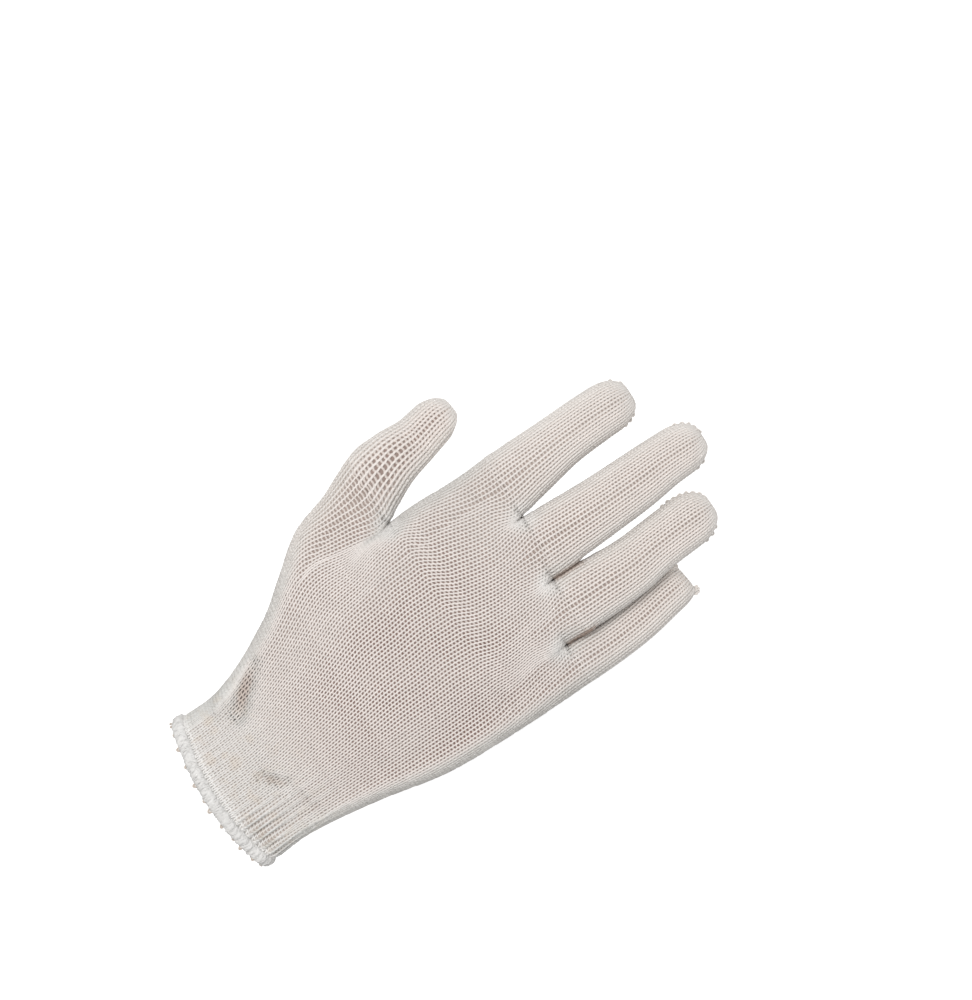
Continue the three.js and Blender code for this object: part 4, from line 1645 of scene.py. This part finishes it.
@dataclass
class Cuff:
    """The ribbed elastic cuff with its overlocked edge."""

    form: GloveForm
    knit: Knit = Knit(
        course_pitch=1.55, yarn_radius=0.25, loop_bulge=0.6, arc_fullness=0.75, points_per_loop=7
    )
    fluff_density: float = 0.2e6
    wrap_pitch: float = 0.76
    points_per_wrap: int = 10
    thread_in_wrap: float = 10.0
    thread_radius: float = 0.37
    # half width, half thickness and start of each layer of wraps
    layers: tuple[tuple[float, float, float], ...] = ((1.95, 1.4, 0.0), (2.1, 1.5, 2.1))
    roll_half: tuple[float, float] = (2.2, 1.6)
    roll_inset: float = 0.75
    roll_steps: int = 420
    roll_sides: int = 14
    roll_lumps: float = 0.09
    roll_spread: float = 0.7  # how far a lump carries on into its neighbours
    # for each loop its place round the edge, as a share of it, and how far it stands out
    loose_loops: tuple[tuple[float, float], ...] = (
        (0.035, 1.3), (0.062, 0.8), (0.094, 1.1), (0.131, 1.5), (0.158, 0.9),
        (0.197, 1.2), (0.238, 1.6), (0.262, 0.9), (0.301, 1.3), (0.345, 1.0),
        (0.388, 1.5), (0.421, 0.9), (0.457, 1.4), (0.489, 1.7), (0.56, 1.1),
        (0.63, 1.4), (0.71, 1.0), (0.79, 1.5), (0.87, 1.1), (0.95, 1.3),
    )
    loop_radius: float = 0.42
    loop_half_width: float = 0.6
    loop_height: float = 0.95
    loop_out: float = 1.8
    loop_lean: float = 0.35

    def build(self, room: Workroom) -> None:
        """Makes the cuff, the rolled edge and its thread."""
        tube = Tube(self.form, ALL_RAYS, HEM_WIDTH, CUFF_END)
        ground = shade_sheet("cuff_ground", [tube], room.ground)
        finish_piece(ground, Slot.YARN, "cuff")
        finish_piece(room.knit("cuff_yarn", [tube], self.knit), Slot.YARN, "cuff")
        core = self.roll(room)
        fluff = room.fluff("hem_fluff", core, self.fluff_density)
        finish_piece(fluff, Slot.OVERLOCK, "wrist_hem")
        finish_piece(core, Slot.OVERLOCK, "wrist_hem")
        for i, (wide, high, start) in enumerate(self.layers):
            sizes = room.wrap_sizes(self.thread_radius, 4, 0.75, wide, high)
            guide = guide_mesh(f"hem_thread_{i}_guide", [self.edge_line(start)], closed=True)
            thread = grow(f"hem_thread_{i}", guide, room.wraps.tree, sizes, room.overlock)
            finish_piece(thread, Slot.OVERLOCK, "wrist_hem")
        self.loops(room)

    def loops(self, room: Workroom) -> None:
        """Makes the loops of thread that stand out of the edge."""
        count, near = 1000, 8
        edge = self.edge(count)
        lines = []
        for share, height in self.loose_loops:
            at = round(share * count)
            along = edge["points"][(at + near) % count] - edge["points"][at - near]
            out = -np.array(ALONG_HAND) + self.loop_lean * edge["outward"][at]
            foot = edge["points"][at] - self.loop_out * np.array(ALONG_HAND)
            out_by = self.loop_height * height
            lines.append(loose_loop(foot, along, out, self.loop_half_width, out_by))
        thread = room.thread("hem_loops", lines, room.knots, self.loop_radius)
        finish_piece(thread, Slot.OVERLOCK, "wrist_hem")

    def edge(self, count: int) -> Line:
        """The middle line of the roll, with its directions."""
        tube = Tube(self.form, ALL_RAYS, HEM_WIDTH + HEM_GAP, CUFF_END)
        parts = 400
        coarse = np.arange(parts + 1) / parts * 2 * tube.wales
        steps = np.linalg.norm(np.diff(tube.ring(tube.begin, coarse), axis=0), axis=1)
        reach = np.concatenate(([0.0], np.cumsum(steps)))
        wale = np.interp(np.arange(count) / count * reach[-1], reach, coarse)
        ring = tube.ring(tube.begin, wale)
        outward = np.column_stack((np.zeros(count), ring[:, 1], ring[:, 2]))
        outward /= np.linalg.norm(outward, axis=1)[:, None]
        ring[:, 0] -= HEM_GAP + HEM_WIDTH / 2
        ring -= self.roll_inset * outward
        return {"points": ring, "outward": outward}

    def edge_line(self, start: float) -> Line:
        """A guide line round the edge, with one phase turn for each wrap."""
        coarse = self.edge(400)["points"]
        length = np.linalg.norm(coarse - np.roll(coarse, 1, axis=0), axis=1).sum()
        count = round(length / self.wrap_pitch) * self.points_per_wrap
        turns = np.arange(count) / self.points_per_wrap
        return {
            **self.edge(count),
            "phase": 2 * math.pi * turns + start,
            "along": turns * self.thread_in_wrap * MM,
            "full": np.ones(count),
            "wale": np.zeros((count, 3)),
            "course": np.tile(ALONG_HAND, (count, 1)),
        }

    def roll(self, room: Workroom) -> bpy.types.Object:
        """The soft roll that the overlock thread wraps."""
        count, sides = self.roll_steps, self.roll_sides
        edge = self.edge(count)
        angle = np.arange(sides) / sides * 2 * math.pi
        lumps = np.random.default_rng(SEED).normal(0.0, self.roll_lumps, (count, sides))
        lumps += self.roll_spread * (np.roll(lumps, 1, axis=0) + np.roll(lumps, 1, axis=1))
        wide, high = (half * (1 + lumps) for half in self.roll_half)
        points = (
            edge["points"][:, None, :]
            + (wide * np.cos(angle))[:, :, None] * np.array(ALONG_HAND)
            + (high * np.sin(angle))[:, :, None] * edge["outward"][:, None, :]
        ).reshape(-1, 3)
        faces = []
        for i in range(count):
            a, b = i * sides, (i + 1) % count * sides
            faces += [
                (a + (j + 1) % sides, a + j, b + j, b + (j + 1) % sides) for j in range(sides)
            ]
        mesh = bpy.data.meshes.new("hem_roll")
        mesh.from_pydata((points * MM).tolist(), [], faces)
        return soft_piece("hem_roll", mesh, room.overlock)


@dataclass(frozen=True)
class Studio:
    """Camera, pale floor and plain soft light, as in the photograph."""

    picture_height: float = 371.6
    distance: float = 1250.0
    middle: tuple[float, float] = (146.5, 37.5)
    roll: float = 33.0
    sensor: float = 36.0
    sight: float = 20.0  # in metres
    floor_drop: float = 320.0
    floor_tone: float = 0.9
    floor_roughness: float = 0.9
    floor_glow: float = 0.5
    floor_half: float = 6.0  # in metres, like the lamps and the point that they face
    lit: tuple[float, float, float] = (0.11, 0.01, 0.0)
    sky: float = 0.46

    def build(self) -> None:
        """Sets the camera, the floor and the lights."""
        scene = bpy.context.scene
        camera = bpy.data.cameras.new("Camera")
        camera.sensor_width = self.sensor
        camera.lens = self.sensor * self.distance / self.picture_height
        camera.clip_end = self.sight
        holder = placed("Camera", camera)
        holder.location = (self.middle[0] * MM, self.middle[1] * MM, self.distance * MM)
        holder.rotation_euler = (0.0, 0.0, math.radians(-self.roll))
        scene.camera = holder
        floor = bpy.data.meshes.new("Floor")
        signs = ((-1, -1), (1, -1), (1, 1), (-1, 1))
        half, height = self.floor_half, -self.floor_drop * MM
        corners = [(a * half, b * half, height) for a, b in signs]
        floor.from_pydata(corners, [], [(0, 1, 2, 3)])
        pale, w, shader = new_material("Pale floor")
        look = {
            "Base Color": (*(self.floor_tone,) * 3, 1.0),
            "Roughness": self.floor_roughness,
            "Emission Color": (1.0, 1.0, 1.0, 1.0),
            "Emission Strength": self.floor_glow,
        }
        w.fill(shader, look)
        floor.materials.append(pale)
        stand = placed("Floor", floor)
        world = bpy.data.worlds.new("Soft light")
        world.use_nodes = True
        light = Wiring(world.node_tree)
        light.fill(world.node_tree.nodes["Background"], {0: (1.0, 1.0, 1.0, 1.0), 1: self.sky})
        scene.world = world
        self.lamp("Key", (0.1, 0.38, 1.4), 0.7, 15.0)
        self.lamp("Fill", (0.6, -0.4, 1.2), 0.9, 2.0)
        scene.view_settings.view_transform = "Standard"

    def lamp(self, name: str, place: tuple[float, float, float], size: float, watts: float) -> None:
        """A square soft light that faces the glove."""
        light = bpy.data.lights.new(name, "AREA")
        light.size = size
        light.energy = watts
        holder = placed(name, light)
        way = np.array(self.lit) - np.array(place)
        holder.location = place
        yaw = math.atan2(way[1], way[0])
        tilt = math.atan2(math.hypot(way[0], way[1]), -way[2])
        holder.rotation_euler = (tilt, 0.0, yaw - math.pi / 2)


def main() -> None:
    """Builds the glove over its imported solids."""
    logging.basicConfig(level=logging.INFO, format="%(message)s")
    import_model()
    room = Workroom()
    form = GloveForm()
    Studio().build()
    Cuff(form).build(room)
    Hand(form).build(room)
    for number, (pitch, radius) in enumerate(FINGER_KNITS):
        knit = Knit(course_pitch=pitch, yarn_radius=radius, arc_fullness=0.0)
        Finger(form, number, knit).build(room)


if __name__ == "__main__":
    main()
